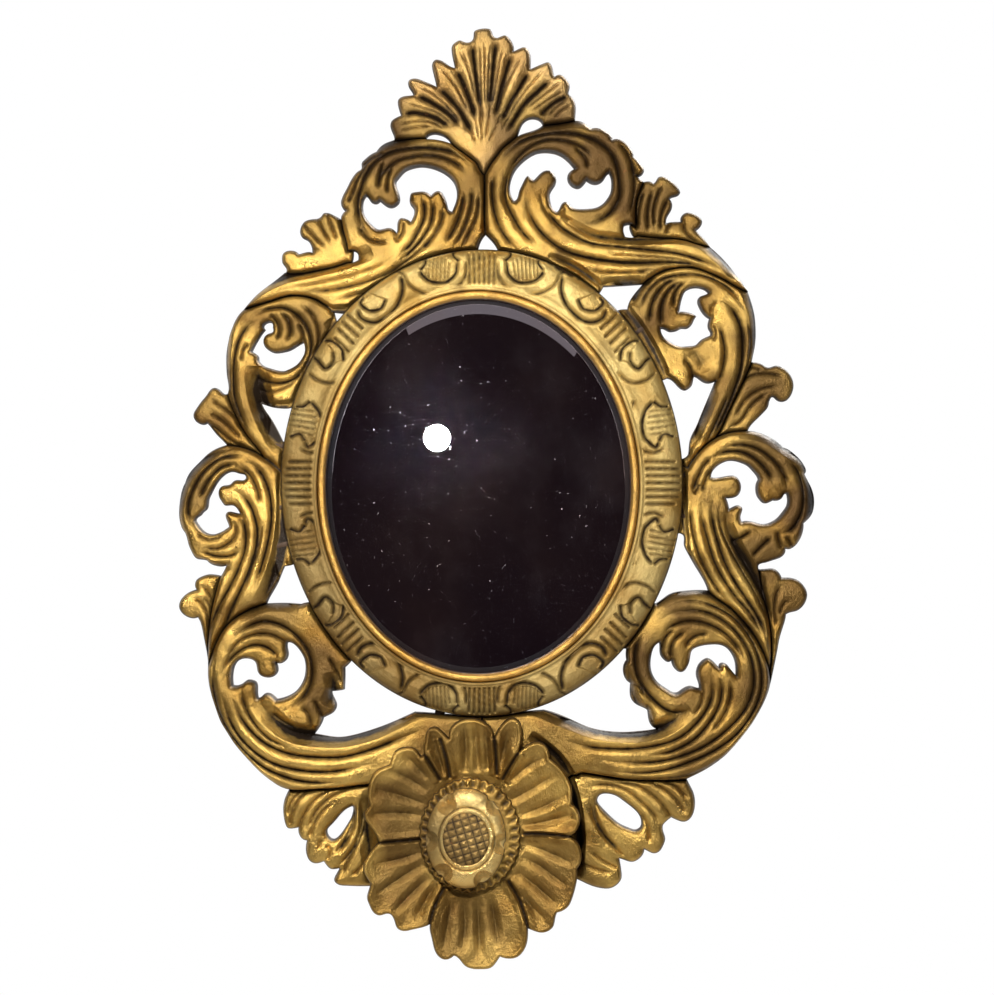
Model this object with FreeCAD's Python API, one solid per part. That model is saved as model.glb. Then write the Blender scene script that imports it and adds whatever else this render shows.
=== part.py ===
import FreeCAD, Part
import math
import os

# Carved and gilt girandole mirror for a wall.
# Millimetres, +Z up, the front faces -Y and the wall is the plane y = 0.
# The origin is the middle of the oval frame, on the wall.

V = FreeCAD.Vector

# ---------------------------------------------------------------- sizes
# Ovals: half width and half height of the opening that shows the glass, and
# the width of the frame's face at its sides and at its head and foot.
SIGHT_HALF_W = 121.6
SIGHT_HALF_H = 149.3
FRAME_FACE_W = 39.2
FRAME_FACE_H = 37.5
FRAME_HALF_W = SIGHT_HALF_W + FRAME_FACE_W
FRAME_HALF_H = SIGHT_HALF_H + FRAME_FACE_H
FRAME_DEPTH = 36.0
FRAME_SIDE_DEPTH = 24.0      # where the outside starts to round over
FRAME_ROUND = 7.0            # how far the round-over comes in
FRAME_BED_DEPTH = 31.0       # the hollow between the carving and the slip
FRAME_HOLLOW_W = 4.0

# The pierced carving is drawn on squared paper round the frame's oval, as a
# carver does it, and the real frame sets the size of a square. Each outline
# is a list of runs; a run starts at a sharp corner and goes smoothly through
# its points to the start of the next run.
DRAWN_HALF_W = 201.0         # half the frame's oval, in squares
DRAWN_HALF_H = 233.5
DRAW_MIDDLE_X = 482.0        # square under the middle of the oval frame
DRAW_MIDDLE_Y = 483.0        # the drawing's y runs down the sheet
SQUARE_W = FRAME_HALF_W / DRAWN_HALF_W
SQUARE_H = FRAME_HALF_H / DRAWN_HALF_H

SIGHT_X = -3.0               # the sight oval sits a little off the frame's middle
SIGHT_Z = -2.7
SLIP_FACE_W = 6.8            # visible width of the gilt slip
SLIP_DEPTH = 32.5
SLIP_EDGE = 2.2              # round-over of the slip
SLIP_FLANGE_T = 4.0

REBATE_W = 10.0              # from the sight edge out to the rebate's wall
REBATE_CLEARANCE = 0.6
BACKBOARD_T = 6.0
GLASS_T = 4.0
GLASS_EDGE_T = 1.6
BEVEL_W = 13.5
BEVEL_HEAD_EXTRA = 7.0       # the ground bevel is wider at the head

BUTTON_STEP_W = 18.0         # shallow step round the back for the turn buttons
BUTTON_STEP_DEPTH = 7.0

# Depth of each carved piece, from the wall forward.
CREST_DEPTH = 20.0
UPPER_SCROLL_DEPTH = 26.0
FLANK_SCROLL_DEPTH = 23.0
SIDE_SCROLL_DEPTH = 23.0
LOWER_SCROLL_DEPTH = 27.0
SHOULDER_LEAF_DEPTH = 17.0
SPRIG_DEPTH = 15.0
SKIRT_LEAF_DEPTH = 18.0

# Rosette, from the front of the lower scrolls forward.
PETAL_FLOOR_T = 5.0          # wood left under the middle of the petals
PETAL_RIM_T = 15.0
PETAL_GROOVE_W = 2.4
PETAL_GROOVES = 6
PETAL_GROOVE_START_DEG = 90.0
PETAL_LAP = 1.0              # flat of the petals that shows round the collar
PETAL_RISE_W = 19.0          # how far out the petals' dish runs, to the side and up
PETAL_RISE_H = 23.0
PETAL_LIP = 2.0              # the last of it, steeper
COLLAR_SQUARE = (470.0, 834.0)   # its middle on the drawing
COLLAR_HALF_W = 41.0
COLLAR_HALF_H = 46.5
COLLAR_T = 8.0
COLLAR_TEETH = 40
COLLAR_TOOTH = 1.6
BOSS_SQUARE = (466.0, 836.0)
BOSS_HALF_W = 34.0
BOSS_HALF_H = 42.0
BOSS_T = 14.0
BOSS_ROUND = 6.0
BOSS_NOTCHES = 6
BOSS_NOTCH_R = 3.6
BOSS_NOTCH_START_DEG = -68.0
SEED_HALF_W = 19.0
SEED_HALF_H = 21.5
SEED_SEAT = 3.0
SEED_STAND = 3.0
SEED_GROOVE_W = 1.2
SEED_GROOVE_DEPTH = 1.0
SEED_PITCH = 7.2
SEED_SLANT_DEG = 20.0
ROSETTE_DOWEL_R = 5.0
ROSETTE_DOWEL_INTO_BLOCK = 14.0
ROSETTE_DOWEL_INTO_BOSS = 6.0

# Dowels between the carved pieces and the oval frame.
DOWEL_R = 4.0
DOWEL_INTO_FRAME = 13.0
DOWEL_INTO_CARVING = 10.0
DOWEL_DEPTH = 13.0           # how far in front of the wall the dowels lie
DOWEL_FIT = 0.05             # glue room all round a dowel
DOWEL_END_ROOM = 0.5

# Brass turn buttons behind the backboard.
TURN_BUTTONS = 6
TURN_T = 1.6
TURN_W = 9.0
TURN_REACH = 12.0
TURN_TAIL = 4.5
TURN_SCREW_R = 1.6
TURN_PIVOT_OUT = 7.0         # from the rebate's wall out to the screw
TURN_HEAD_R = 3.0
TURN_HEAD_T = 1.4
TURN_SCREW_LENGTH = 9.0
RUNNING_GAP = 0.05

# Hanging ring and its plate, let into the back above the oval frame.
HANGER_SQUARE = (484.5, 198.0)   # on the seam between the two upper scrolls
POCKET_DEPTH = 8.5
POCKET_ROOM = 2.0
PLATE_W = 18.0
PLATE_H = 28.0
PLATE_T = 1.6
HANGER_SCREW_R = 1.7
HANGER_SCREW_LENGTH = 11.0
HANGER_SCREW_X = 4.8
HANGER_SCREW_Z = 10.0
HANGER_HEAD_R = 3.2
RING_WIRE_R = 1.5
RING_CORNER_R = 4.0
RING_BOW_R = 9.0
EYE_R = 2.6                  # outside of the knuckle that holds the ring
EYE_W = 6.0

# ---------------------------------------------------------------- outlines
CREST = [
    [(497, 36), (501, 34.5), (505, 33.5), (509, 36), (512, 40), (514, 46)],
    [(513.5, 49.5), (519, 47), (525, 45.5), (529, 49), (531, 56), (531, 62)],
    [(531, 67), (538, 64), (544, 61.5), (549, 60.5), (552, 64), (553.5, 70)],
    [(555, 75), (562, 73.5), (566, 77), (569, 81), (570, 86), (569, 92)],
    [(570.5, 94), (574, 98), (576, 104), (576, 111)],
    [(575.5, 119), (560, 122)],
    [(543, 123.5), (539, 118.5), (533, 117), (528, 118), (523, 122), (520, 128)],
    [(518, 134), (510, 141), (503, 147), (497, 155), (491, 163), (488, 168)],
    [(484.5, 174.5), (481, 171), (476, 162), (470, 157), (462, 151), (455, 146)],
    [(450, 140.5), (445, 135.5), (439, 133), (433, 132.5), (428, 134.5)],
    [(426, 137.3), (415, 137.5), (400, 138.3)],
    [(394, 138.5), (392, 131), (390, 125), (391, 120), (395, 116.5)],
    [(400.5, 114), (399, 109), (397.5, 103), (398, 98), (402, 95), (408, 94)],
    [(413, 93.5), (411, 89), (408, 84), (408.5, 79), (412, 77), (417, 77),
     (424, 79.5), (430, 82)],
    [(436, 85), (434.5, 77), (432.5, 69), (432, 62), (435, 58), (439, 58),
     (445, 61), (450, 64.5)],
    [(454.5, 66), (453, 58), (451.5, 50), (452, 44), (456, 40), (460, 38.5),
     (464, 40), (468, 40.5)],
    [(472, 38.5), (473.5, 34), (474, 30), (480, 27), (487, 26.5), (491, 28), (493, 33)],
]

UPPER_SCROLL_LEFT = [
    [(484.5, 174.5), (484.5, 200), (484.5, 220)],
    [(485.5, 233.5), (481, 240), (478, 249)],
    [(477, 262), (440, 275), (400, 300), (370, 320)],
    [(357, 312.5), (350, 313), (340, 312.5)],
    [(332, 311.5), (328, 307), (322, 303), (315, 299), (305, 296), (295, 295),
     (285, 296), (275, 299), (262, 303), (252, 306)],
    [(243, 309), (247, 304), (252, 298), (258, 292), (267, 285), (275, 279)],
    [(284, 271.5), (300, 272.5), (315, 270), (330, 267)],
    [(346, 262), (353, 261)],
    [(357.5, 259), (357, 252.5)],
    [(347.5, 250), (345, 238), (342, 226)],
    [(340.5, 217), (342, 213)],
    [(345, 210), (342, 207), (340.5, 203), (341.5, 197), (346, 188), (351, 178),
     (356, 171)],
    [(359, 169), (361, 167), (361, 162), (364, 158), (370, 153)],
    [(376, 150), (378, 147), (385, 141.5), (393, 138.5), (400, 136), (412, 135)],
    [(427, 137.8), (434, 138.2), (442, 139.6)],
    [(450, 142), (456, 141), (465, 147), (476, 158), (482, 167)],
]
UPPER_EYE_LEFT = [
    [(396, 180), (400, 175), (405, 170), (412, 167), (420, 165.5), (430, 166.5),
     (440, 170), (448, 175), (454, 182), (456.5, 190), (456, 200), (453, 208)],
    [(452, 210.5), (450, 210), (447, 203), (444, 195), (441, 191), (438, 190),
     (434, 191.5)],
    [(431, 194.5), (428, 192), (423, 190.5), (416, 191), (411, 192.5), (409.5, 197),
     (410, 203), (413, 207), (414, 210), (413, 216)],
    [(410.5, 221), (408, 219), (404, 217.5), (400, 217.5), (397.5, 221), (397, 227)],
    [(396.5, 232), (394, 229.5), (391, 227.5), (385, 227.5), (378, 228.5),
     (373, 225.5), (367, 219), (363, 211), (362.5, 203), (364, 197.5)],
    [(366, 195), (368, 197), (371, 201), (375, 202.5)],
    [(379.5, 200), (382, 202), (386, 205), (391, 206.5), (396, 204.5), (399, 201),
     (399.5, 196), (398, 190), (396, 184)],
]

SHOULDER_LEAF_LEFT = [
    [(342, 219), (337, 216), (332, 213.5), (327, 211.5), (323, 212), (320, 215.5),
     (315, 217.5), (308, 218.5), (303, 221), (300, 226), (299.5, 233), (302, 237),
     (306, 239), (309, 242), (311, 247)],
    [(311.5, 251.5), (306, 251), (302, 252)],
    [(298, 253), (295, 250.5), (291, 249.5), (286, 250), (282, 253), (281, 258),
     (282, 263), (285, 267)],
    [(284, 273), (300, 276), (315, 274), (332, 271), (350, 264), (353, 250),
     (348, 232)],
]

FLANK_SCROLL_LEFT = [
    [(243, 309), (252, 306), (262, 301), (275, 297), (285, 294), (295, 293),
     (305, 294), (315, 297), (324, 301), (331, 307)],
    [(334, 313), (336, 320)],
    [(338.5, 326.5), (345, 330), (345, 352), (330, 380), (310, 400)],
    [(295, 404), (293, 406), (287, 408), (280, 408), (272, 407), (265, 405)],
    [(260.5, 403.5), (264, 410), (269, 417), (275, 427), (280, 437)],
    [(284, 446), (295, 450), (300, 464)],
    [(295, 478), (284, 474), (277, 468), (270, 462)],
    [(263, 457.5), (255, 446), (247, 436), (240, 425), (233, 411)],
    [(226.5, 393.5), (227.5, 386), (226, 378), (225, 367), (225, 354), (227, 341),
     (231, 328), (236, 317)],
]
FLANK_EYE_LEFT = [
    [(263, 325), (266, 322.5), (270, 322)],
    [(272, 327), (271, 332), (268, 333), (264, 336), (262.5, 341), (264, 346),
     (268, 350), (274, 352.5), (281, 352), (289, 350), (296, 346)],
    [(303, 342), (304.5, 347), (304, 353), (301, 359), (297, 364), (291, 368),
     (284, 370.5), (277, 370), (270, 368), (264, 366), (260, 363), (258, 360),
     (257.5, 356), (254.5, 353)],
    [(251, 351), (254, 345), (258, 338), (262, 332)],
    [(264.5, 329), (263, 327)],
]

SPRIG_LEFT_UPPER = [
    [(228, 392), (222, 393), (219, 390), (216, 388), (212, 387.5), (208.5, 390),
     (205, 395), (200, 401), (195, 408), (192, 414), (193, 419), (197, 423),
     (202, 424.5)],
    [(206, 423), (209, 426.5), (215, 434), (221, 440)],
    [(225.5, 444.8), (232, 449), (240, 452), (252, 455)],
    [(266, 460), (258, 446), (250, 434), (243, 422), (236, 408)],
]

SIDE_SCROLL_LEFT = [
    [(225.5, 444.8), (220, 446.5), (212, 450), (205, 455), (200, 460), (193, 467),
     (188, 473), (184.5, 480)],
    [(183.5, 483), (180.5, 490), (178.5, 500), (177.5, 510), (178, 520), (180, 527)],
    [(184, 533), (185.5, 537), (187.5, 545), (191, 553), (195.5, 559), (201, 560)],
    [(206, 561), (209, 564), (214, 566), (220, 567)],
    [(225, 566), (222, 573)],
    [(219.5, 577), (217, 585), (213, 600), (210, 615), (208, 630), (207, 645)],
    [(207, 668), (214, 647), (226, 626), (241, 614), (253, 608)],
    [(266, 604), (268, 599), (272, 592), (277, 583), (281, 573)],
    [(284, 566.5), (300, 560), (305, 520), (297, 482)],
    [(284, 474), (277, 468), (270, 462)],
    [(263, 457.5), (250, 450), (240, 447), (232, 445.5)],
]
SIDE_EYE_LEFT = [
    [(245, 478), (243, 474.5), (240, 474), (235, 472.5), (230, 472), (224, 474.5),
     (219, 479), (215, 484.5), (212, 490), (209.5, 495), (207.5, 500), (207, 505),
     (205, 510), (202, 512.5), (199.5, 515.5), (196, 518)],
    [(194.5, 521), (197, 525), (201, 530), (206, 533.5), (212, 534.5), (218, 533),
     (223, 530.5)],
    [(228, 527), (227, 523), (225, 518), (225, 514), (227, 512), (231, 512),
     (235, 513)],
    [(239, 513.5), (237, 510), (233, 506), (229, 505.5), (224, 505.5), (221, 502),
     (218.5, 498), (217.5, 493), (219, 488), (223, 485.5), (229, 484.5), (233, 481),
     (238, 480), (243, 480)],
]

SPRIG_LEFT_LOWER = [
    [(222, 577), (213, 575), (206, 575), (200, 577), (195, 580.5), (193.5, 585)],
    [(195, 590), (189, 592), (183, 596), (179, 601), (177.5, 607), (180, 613),
     (185, 617), (192, 619)],
    [(196.5, 618), (199, 623), (201, 631), (203, 641), (205, 651)],
    [(207, 668), (212, 645), (213, 630), (215, 615), (218, 600)],
]

LOWER_SCROLL_LEFT = [
    [(207, 668), (208, 685), (211, 698), (215, 710), (220, 723), (226, 733),
     (233, 744), (241, 754), (250, 764), (260, 774), (270, 782), (280, 788)],
    [(288, 790.5), (300, 791), (315, 790), (335, 789), (350, 787)],
    [(372, 785), (420, 785)],
    [(482, 785), (482, 750)],
    [(482, 716), (460, 716), (432, 714)],
    [(414.5, 713), (408, 716), (395, 722), (380, 728), (365, 733), (350, 737),
     (338, 738.5), (325, 737)],
    [(314, 735), (319, 728), (322, 722)],
    [(323, 718.5), (329, 715.5), (334, 712), (336, 706), (334.5, 701), (332, 696)],
    [(331.5, 692), (338, 691.5)],
    [(344, 690), (344.5, 680)],
    [(344.5, 668), (355, 650), (345, 625), (320, 604)],
    [(300, 604.5), (285, 603.5), (266, 604), (252, 606), (240, 612), (225, 624),
     (213, 645)],
]
LOWER_EYE_LEFT = [
    [(232, 686), (231.5, 678), (232.5, 670), (235, 664), (239, 660.5), (245, 659),
     (251, 660), (254.5, 662.5), (256, 667), (257, 672), (260, 676), (265, 678),
     (270, 678), (274.5, 676), (277, 672), (277, 668)],
    [(275.5, 663), (279, 664), (283.5, 662.5), (286.5, 659), (287.5, 654),
     (286.5, 648)],
    [(287, 643), (290, 643), (295, 646), (300, 652), (304, 660), (305, 669),
     (304, 677), (300, 686), (295, 692), (288, 696.5), (281, 699)],
    [(276, 700), (273, 697), (269, 694.5), (264, 694.5), (261, 697)],
    [(257.5, 699), (256.5, 694), (256.5, 688), (255, 683), (251, 681), (246, 681),
     (242, 684), (238, 686)],
]

SKIRT_LEAF_LEFT = [
    [(290, 788), (285, 797), (282.5, 806), (282.5, 815), (284, 824), (287, 829.5),
     (292, 830)],
    [(297.5, 829), (298, 835), (301, 840)],
    [(306, 842), (305, 849), (306, 857), (309, 862.5), (314, 865), (319, 864.5)],
    [(323, 863), (326, 867), (330, 870.5), (336, 870.5)],
    [(338.5, 870), (335.5, 876), (333.5, 882), (337, 886), (345, 887.5), (357, 888)],
    [(372, 888), (385, 884), (404, 882)],
    [(404, 800), (400, 782)],
    [(372, 781), (350, 783), (335, 785), (315, 786), (300, 787)],
]
SKIRT_HOLE_LEFT = [
    [(351, 808), (345, 811), (338, 818), (331, 826), (326.5, 832), (328, 838),
     (333, 841), (338, 838), (344, 830), (349, 822), (352, 814)],
]

UPPER_SCROLL_RIGHT = [
    [(484.5, 174.5), (488, 163), (494, 155), (500, 146), (507, 138)],
    [(518, 134.5), (528, 130.5), (538, 127)],
    [(543, 123.5), (552, 118), (562, 116)],
    [(575.5, 119), (578, 119), (584, 121), (590, 125.5)],
    [(592, 127), (597, 126.5), (603, 128.5), (609, 132), (612.5, 136)],
    [(613, 138.5), (619, 138), (625, 141), (630, 146), (633.5, 152)],
    [(634, 155.5), (638, 159), (642, 164), (644.5, 170.5), (643, 173)],
    [(637, 175), (640, 177.5)],
    [(644, 181), (640, 190), (637, 200), (636, 212)],
    [(636, 226), (631, 223.5)],
    [(624.5, 225), (624, 231)],
    [(626, 235.5), (634, 236.2)],
    [(638.5, 235), (655, 236.5), (672, 237.5), (688, 240), (700, 244)],
    [(711, 246), (722, 256), (731, 266), (739, 277)],
    [(749, 291), (738, 287), (728, 281), (716, 275), (704, 270), (692, 267),
     (680, 267), (668, 269), (658, 273), (650, 278)],
    [(643, 283.5), (635, 284), (620, 285)],
    [(604, 286), (590, 300), (540, 275)],
    [(500, 262), (499, 254), (498, 250), (495, 244), (490, 238)],
    [(485.5, 233.5), (484.5, 220), (484.5, 200)],
]
UPPER_EYE_RIGHT = [
    [(514, 200), (511, 194), (510, 186), (511.5, 178), (515, 170), (521, 162.5),
     (529, 156), (537, 152), (544, 151), (552, 151.5), (560, 154), (566, 158),
     (571, 163)],
    [(575, 168), (571, 170), (568, 174), (568, 179), (571, 184), (575, 186.5),
     (579, 187), (583, 184.5)],
    [(587, 179.5), (590, 181.5), (595, 183), (600, 182), (604.5, 178), (607, 174)],
    [(609.5, 172), (611.5, 177), (612, 184), (611, 191), (608, 197), (603, 203),
     (597, 206.5), (588, 208), (578, 208), (572, 206), (569, 202.5), (565, 201),
     (562, 203), (559.5, 208)],
    [(557, 211), (552, 206), (550.5, 200), (550, 194), (552, 189), (555, 184.5),
     (556.5, 180), (555, 174), (551, 170), (546, 169.5), (541, 172), (537, 176)],
    [(534, 179), (531, 177), (528, 175), (525, 178), (522, 184), (519, 191),
     (516, 199)],
]

SHOULDER_LEAF_RIGHT = [
    [(641, 181), (647, 180), (651, 180)],
    [(654, 182), (657, 179), (659, 176), (663, 175), (669, 177.5), (675, 182),
     (680, 188), (681, 191.5), (678, 194.5), (673, 196)],
    [(670.5, 198), (673, 203), (672, 209), (668.5, 215)],
    [(667, 222), (671, 221), (676, 220.5)],
    [(682, 220.5), (683, 214), (687, 211.5), (693, 212), (699, 215), (703, 220),
     (701, 226)],
    [(697, 229), (699.5, 232), (705, 238)],
    [(711, 246), (704, 249), (688, 244), (672, 241), (655, 240), (640, 239)],
    [(630, 226), (632, 212), (634, 200)],
]

FLANK_SCROLL_RIGHT = [
    [(749, 291), (753, 303), (756, 316), (757, 330), (756.5, 343), (754.5, 354)],
    [(752.5, 362), (748, 372), (742, 385), (735, 400), (728, 415), (722, 428)],
    [(716, 438), (705, 446), (696, 456)],
    [(688, 468), (680, 460), (688, 456), (690, 448), (692, 437), (697, 427),
     (702, 415), (707, 403), (712, 391)],
    [(716, 381), (714, 382), (709, 383), (703, 381), (699, 378)],
    [(695, 376), (694, 379), (693, 384), (690, 388), (686, 390), (681, 388),
     (677, 384), (673, 380)],
    [(668, 378), (650, 380), (625, 345), (615, 312)],
    [(628, 309), (630, 301), (635, 293)],
    [(643, 283.5), (650, 275), (658, 270), (668, 266), (680, 264), (692, 264),
     (704, 267), (716, 272), (728, 278), (738, 284)],
]
FLANK_EYE_RIGHT = [
    [(680, 311), (681, 305), (683, 297), (686, 291), (691, 288), (697, 287),
     (703, 288), (707, 290)],
    [(709, 292), (706, 294), (700, 296.5), (698.5, 300), (699.5, 305), (702, 310),
     (706, 315)],
    [(710.5, 318), (709, 323), (709.5, 328), (711.5, 332)],
    [(711, 335), (706, 337), (701, 340), (697, 344), (690, 345.5), (683, 346),
     (676, 344.5), (670, 341), (665, 337), (662, 332)],
    [(661.5, 328), (666, 329), (670, 331), (674, 331), (678, 330), (682, 328),
     (687, 328), (691, 326), (694, 321)],
    [(697, 316), (695, 314), (690, 312), (685, 311)],
]

SPRIG_RIGHT_UPPER = [
    [(750, 362), (759, 362), (764, 364), (768, 366.5), (772, 366.5), (777, 365),
     (783, 366.5), (789, 371), (793, 377), (795, 384), (794, 391), (791, 397),
     (786, 401), (781, 401)],
    [(777, 398.5), (773, 397), (771, 400), (769.5, 406), (765, 412), (759, 418),
     (753, 424)],
    [(749, 430.5), (742, 434), (728, 437)],
    [(712, 442), (718, 428), (724, 415), (731, 400), (738, 385), (745, 372)],
]

SIDE_SCROLL_RIGHT = [
    [(749, 430.5), (755, 431), (765, 434), (773, 438), (780, 443)],
    [(784, 447), (790, 449.5), (796, 454), (802, 460), (806, 466), (807.5, 470)],
    [(806, 474), (809, 480), (813, 488), (815.5, 497), (815.5, 507), (813, 515),
     (809, 520)],
    [(805, 523.5), (804.5, 531), (802, 538), (798, 544), (793, 548.5)],
    [(786.5, 549), (785.5, 554), (781, 558), (774, 560.5), (766, 563), (760, 565)],
    [(759.5, 569), (764, 590), (769, 612), (772, 635)],
    [(770, 672), (767, 660), (761, 646), (752, 631), (742, 619), (731, 608),
     (719, 600)],
    [(709, 591), (705, 581), (699, 571), (693, 561), (688, 552), (685, 544),
     (685, 537)],
    [(680, 533.5), (665, 530), (660, 495), (665, 462)],
    [(683, 458), (686, 464)],
    [(688, 468), (696, 456), (705, 446)],
    [(716, 438), (728, 433), (740, 431)],
]
SIDE_EYE_RIGHT = [
    [(712, 477), (713, 472), (717, 467), (723, 463), (729, 461), (736, 461),
     (743, 463), (749, 466), (754, 471), (758, 476)],
    [(759.5, 479.5), (757.5, 484), (757, 489), (758, 495), (761, 500),
     (766, 503.5), (770, 502.5)],
    [(774, 500.5), (779, 500.5), (783, 498), (786, 494)],
    [(788, 494), (789, 500), (788, 506), (784, 512), (779, 518), (773, 522),
     (767, 524), (760, 523.5), (753, 521.5), (747, 521)],
    [(743, 522), (741.5, 519), (742, 514), (743, 508), (740, 505.5), (735, 506.5)],
    [(730, 509), (728.5, 502)],
    [(727, 498.5), (733, 498), (738, 496), (741, 492), (742, 487), (740, 480),
     (736, 476), (730, 475.5), (722, 477)],
]

SPRIG_RIGHT_LOWER = [
    [(757, 569), (765, 569.5), (770, 569), (775, 569), (780, 572.5)],
    [(783, 578), (787, 578), (794, 578.5), (800, 581), (805, 586), (808.5, 593),
     (808, 600), (804, 607), (798, 611.5), (792, 613)],
    [(787.5, 615), (786.5, 621), (784, 629), (781, 639), (779, 650), (777, 660),
     (774, 675)],
    [(771, 687), (768, 672), (767, 635), (765, 612), (761, 590)],
]

LOWER_SCROLL_RIGHT = [
    [(771, 687), (767, 699), (761, 711), (754, 723), (746, 734), (737, 745),
     (727, 756), (717, 764), (706, 771), (696, 776)],
    [(687, 780), (670, 781), (650, 781), (625, 780), (600, 776)],
    [(582, 773), (540, 785)],
    [(482, 785), (482, 750)],
    [(482, 716), (510, 714), (530, 712)],
    [(544, 711), (558, 715), (572, 721), (585, 727), (598, 731), (612, 733),
     (627, 733.5), (640, 732.5), (650, 731.5)],
    [(658, 730), (655, 729), (651, 725), (649, 718)],
    [(648, 711), (645, 709), (638, 706), (632, 700), (630.5, 691)],
    [(631, 684), (627, 681), (624, 674), (624, 667)],
    [(627, 661), (626.5, 655)],
    [(627, 649), (600, 640), (630, 615), (645, 604)],
    [(657, 604), (663, 600), (671, 594.5), (680, 592), (690, 591), (700, 590.5)],
    [(709, 591), (720, 598), (732, 606), (743, 617), (753, 630), (762, 646),
     (768, 660)],
    [(770, 672), (771, 680)],
]
LOWER_EYE_RIGHT = [
    [(660, 643), (655, 647), (652, 655), (651, 664), (652, 672), (656, 680),
     (662, 686), (668, 690), (673, 693), (678, 693.5), (682, 691), (687, 688),
     (692, 687), (697, 688.5)],
    [(700, 689), (699.5, 684), (697.5, 678), (697.5, 671), (700, 665), (704, 661),
     (709, 659), (713, 661), (717, 665)],
    [(720, 668), (722, 664), (726, 664), (730, 668), (734, 673)],
    [(737, 676), (737, 670), (736, 662), (733, 655), (728, 649), (721, 645.5),
     (713, 645), (704, 646), (697, 648), (693, 650.5), (691, 656), (690, 662),
     (687.5, 668), (684, 672), (680, 672.5), (676, 670), (673, 665)],
    [(672, 661), (668, 662.5), (664, 660), (661, 655), (660.5, 649)],
]

SKIRT_LEAF_RIGHT = [
    [(687, 778), (690, 785), (694, 793), (696, 803), (695, 812), (691, 820),
     (686, 823), (679, 822)],
    [(672, 819), (668, 822)],
    [(664, 826), (664, 833), (666, 840), (664, 847), (660, 853), (655, 855),
     (649, 853)],
    [(645, 851), (643, 857), (639, 861), (633, 863.5), (626, 862)],
    [(620, 860), (621, 866), (622, 873), (622, 880), (618, 886), (611, 890),
     (602, 890), (592, 887.5), (584, 884)],
    [(575, 880), (560, 878), (540, 880)],
    [(540, 790), (555, 775)],
    [(582, 770), (600, 773), (625, 776), (650, 777), (670, 777)],
]
SKIRT_HOLE_RIGHT = [
    [(598, 800), (601, 796), (608, 795), (616, 797), (625, 803), (634, 810),
     (640, 817), (642, 823), (641, 829), (637, 831.5), (630, 830), (621, 826),
     (612, 819), (604, 811), (599, 805)],
]

ROSETTE = [
    [(449, 737), (451, 727), (457, 721), (465, 718), (476, 718), (486, 722),
     (493, 730)],
    [(494, 736), (499, 727), (505, 720), (512, 717), (519, 720), (522, 728),
     (522, 738)],
    [(519, 750), (524, 746), (531, 742), (539, 741), (545, 744), (549, 750)],
    [(550, 757), (556, 762), (563, 769), (568, 777), (571.5, 786), (572, 796)],
    [(571.5, 803), (577, 808), (580, 815), (579, 824), (575, 831)],
    [(570, 835), (573, 837), (578, 842), (581, 850), (581, 860)],
    [(577, 867), (577, 876), (575, 887), (572, 897), (568, 905), (563, 909)],
    [(557, 911), (555, 917), (553, 925), (547, 930), (540, 931), (533, 929)],
    [(528, 927), (528, 932), (527, 941), (523, 950), (517, 955.5), (509, 957)],
    [(500, 955), (496, 961), (491, 966), (482, 967.5), (472, 967), (465, 964),
     (459, 957)],
    [(454, 954), (450, 957), (445, 958), (438, 954), (434, 946), (432, 937),
     (430, 928)],
    [(430, 923), (422, 926), (413, 928), (404, 929.5), (398, 927), (395, 920)],
    [(391, 913), (386, 912.5), (380, 914), (374, 911), (370, 904), (367.5, 896),
     (369, 889)],
    [(371, 882), (365, 872), (363.5, 866), (366, 858), (371, 850), (376, 844)],
    [(379, 840.5), (377, 835), (371, 826), (366, 819), (364.5, 812), (368, 807)],
    [(370, 803), (368, 795), (369, 785), (372, 776), (378, 769), (384, 766)],
    [(390, 764), (392, 757), (396, 750), (402, 747), (410, 746), (417, 749),
     (422, 755)],
    [(424, 752), (424, 745), (425.5, 738), (428, 729), (434.5, 726), (443, 731)],
]

# Block behind the rosette, out of sight.
BLOCK = [(400, 783), (545, 783), (545, 884), (522, 906), (440, 906), (400, 886)]

# Where each piece is dowelled into the frame: degrees round the oval from
# its right-hand end, counted anticlockwise as seen from the front.
DOWELS = {
    "upper_scroll_left": (100.0, 122.0),
    "upper_scroll_right": (62.0, 80.0),
    "flank_scroll_left": (156.0, 171.0),
    "flank_scroll_right": (40.0,),
    "side_scroll_left": (186.0, 195.0),
    "side_scroll_right": (2.0, 352.0),
    "lower_scroll_left": (219.0, 258.0),
    "lower_scroll_right": (324.0, 280.0),
}


# ---------------------------------------------------------------- helpers
def on_wall(point, depth=0.0):
    """The place of a drawing point, a given depth in front of the wall."""
    return V((point[0] - DRAW_MIDDLE_X) * SQUARE_W, -depth, (DRAW_MIDDLE_Y - point[1]) * SQUARE_H)


def outline_wire(runs):
    edges = []
    for index, run in enumerate(runs):
        following = runs[(index + 1) % len(runs)]
        points = [on_wall(p) for p in run] + [on_wall(following[0])]
        if len(points) == 2:
            edges.append(Part.makeLine(points[0], points[1]))
            continue
        closed = len(runs) == 1
        curve = Part.BSplineCurve()
        if closed:
            curve.interpolate(points[:-1], PeriodicFlag=True)
        else:
            curve.interpolate(points)
        edges.append(curve.toShape())
    return Part.Wire(edges)


def oval_wire(half_w, half_h, depth, x=0.0, z=0.0):
    """An oval facing the viewer; its long way is whichever half is larger."""
    long_x = half_w >= half_h
    middle = V(x, -depth, z)
    along = V(half_w, 0, 0) if long_x else V(0, 0, half_h)
    across = V(0, 0, half_h) if long_x else V(half_w, 0, 0)
    curve = Part.Ellipse(middle + along, middle + across, middle)
    return Part.Wire(curve.toShape())


def oval_solid(half_w, half_h, back, front, x=0.0, z=0.0):
    face = Part.Face(oval_wire(half_w, half_h, back, x, z))
    return face.extrude(V(0, back - front, 0))


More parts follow.
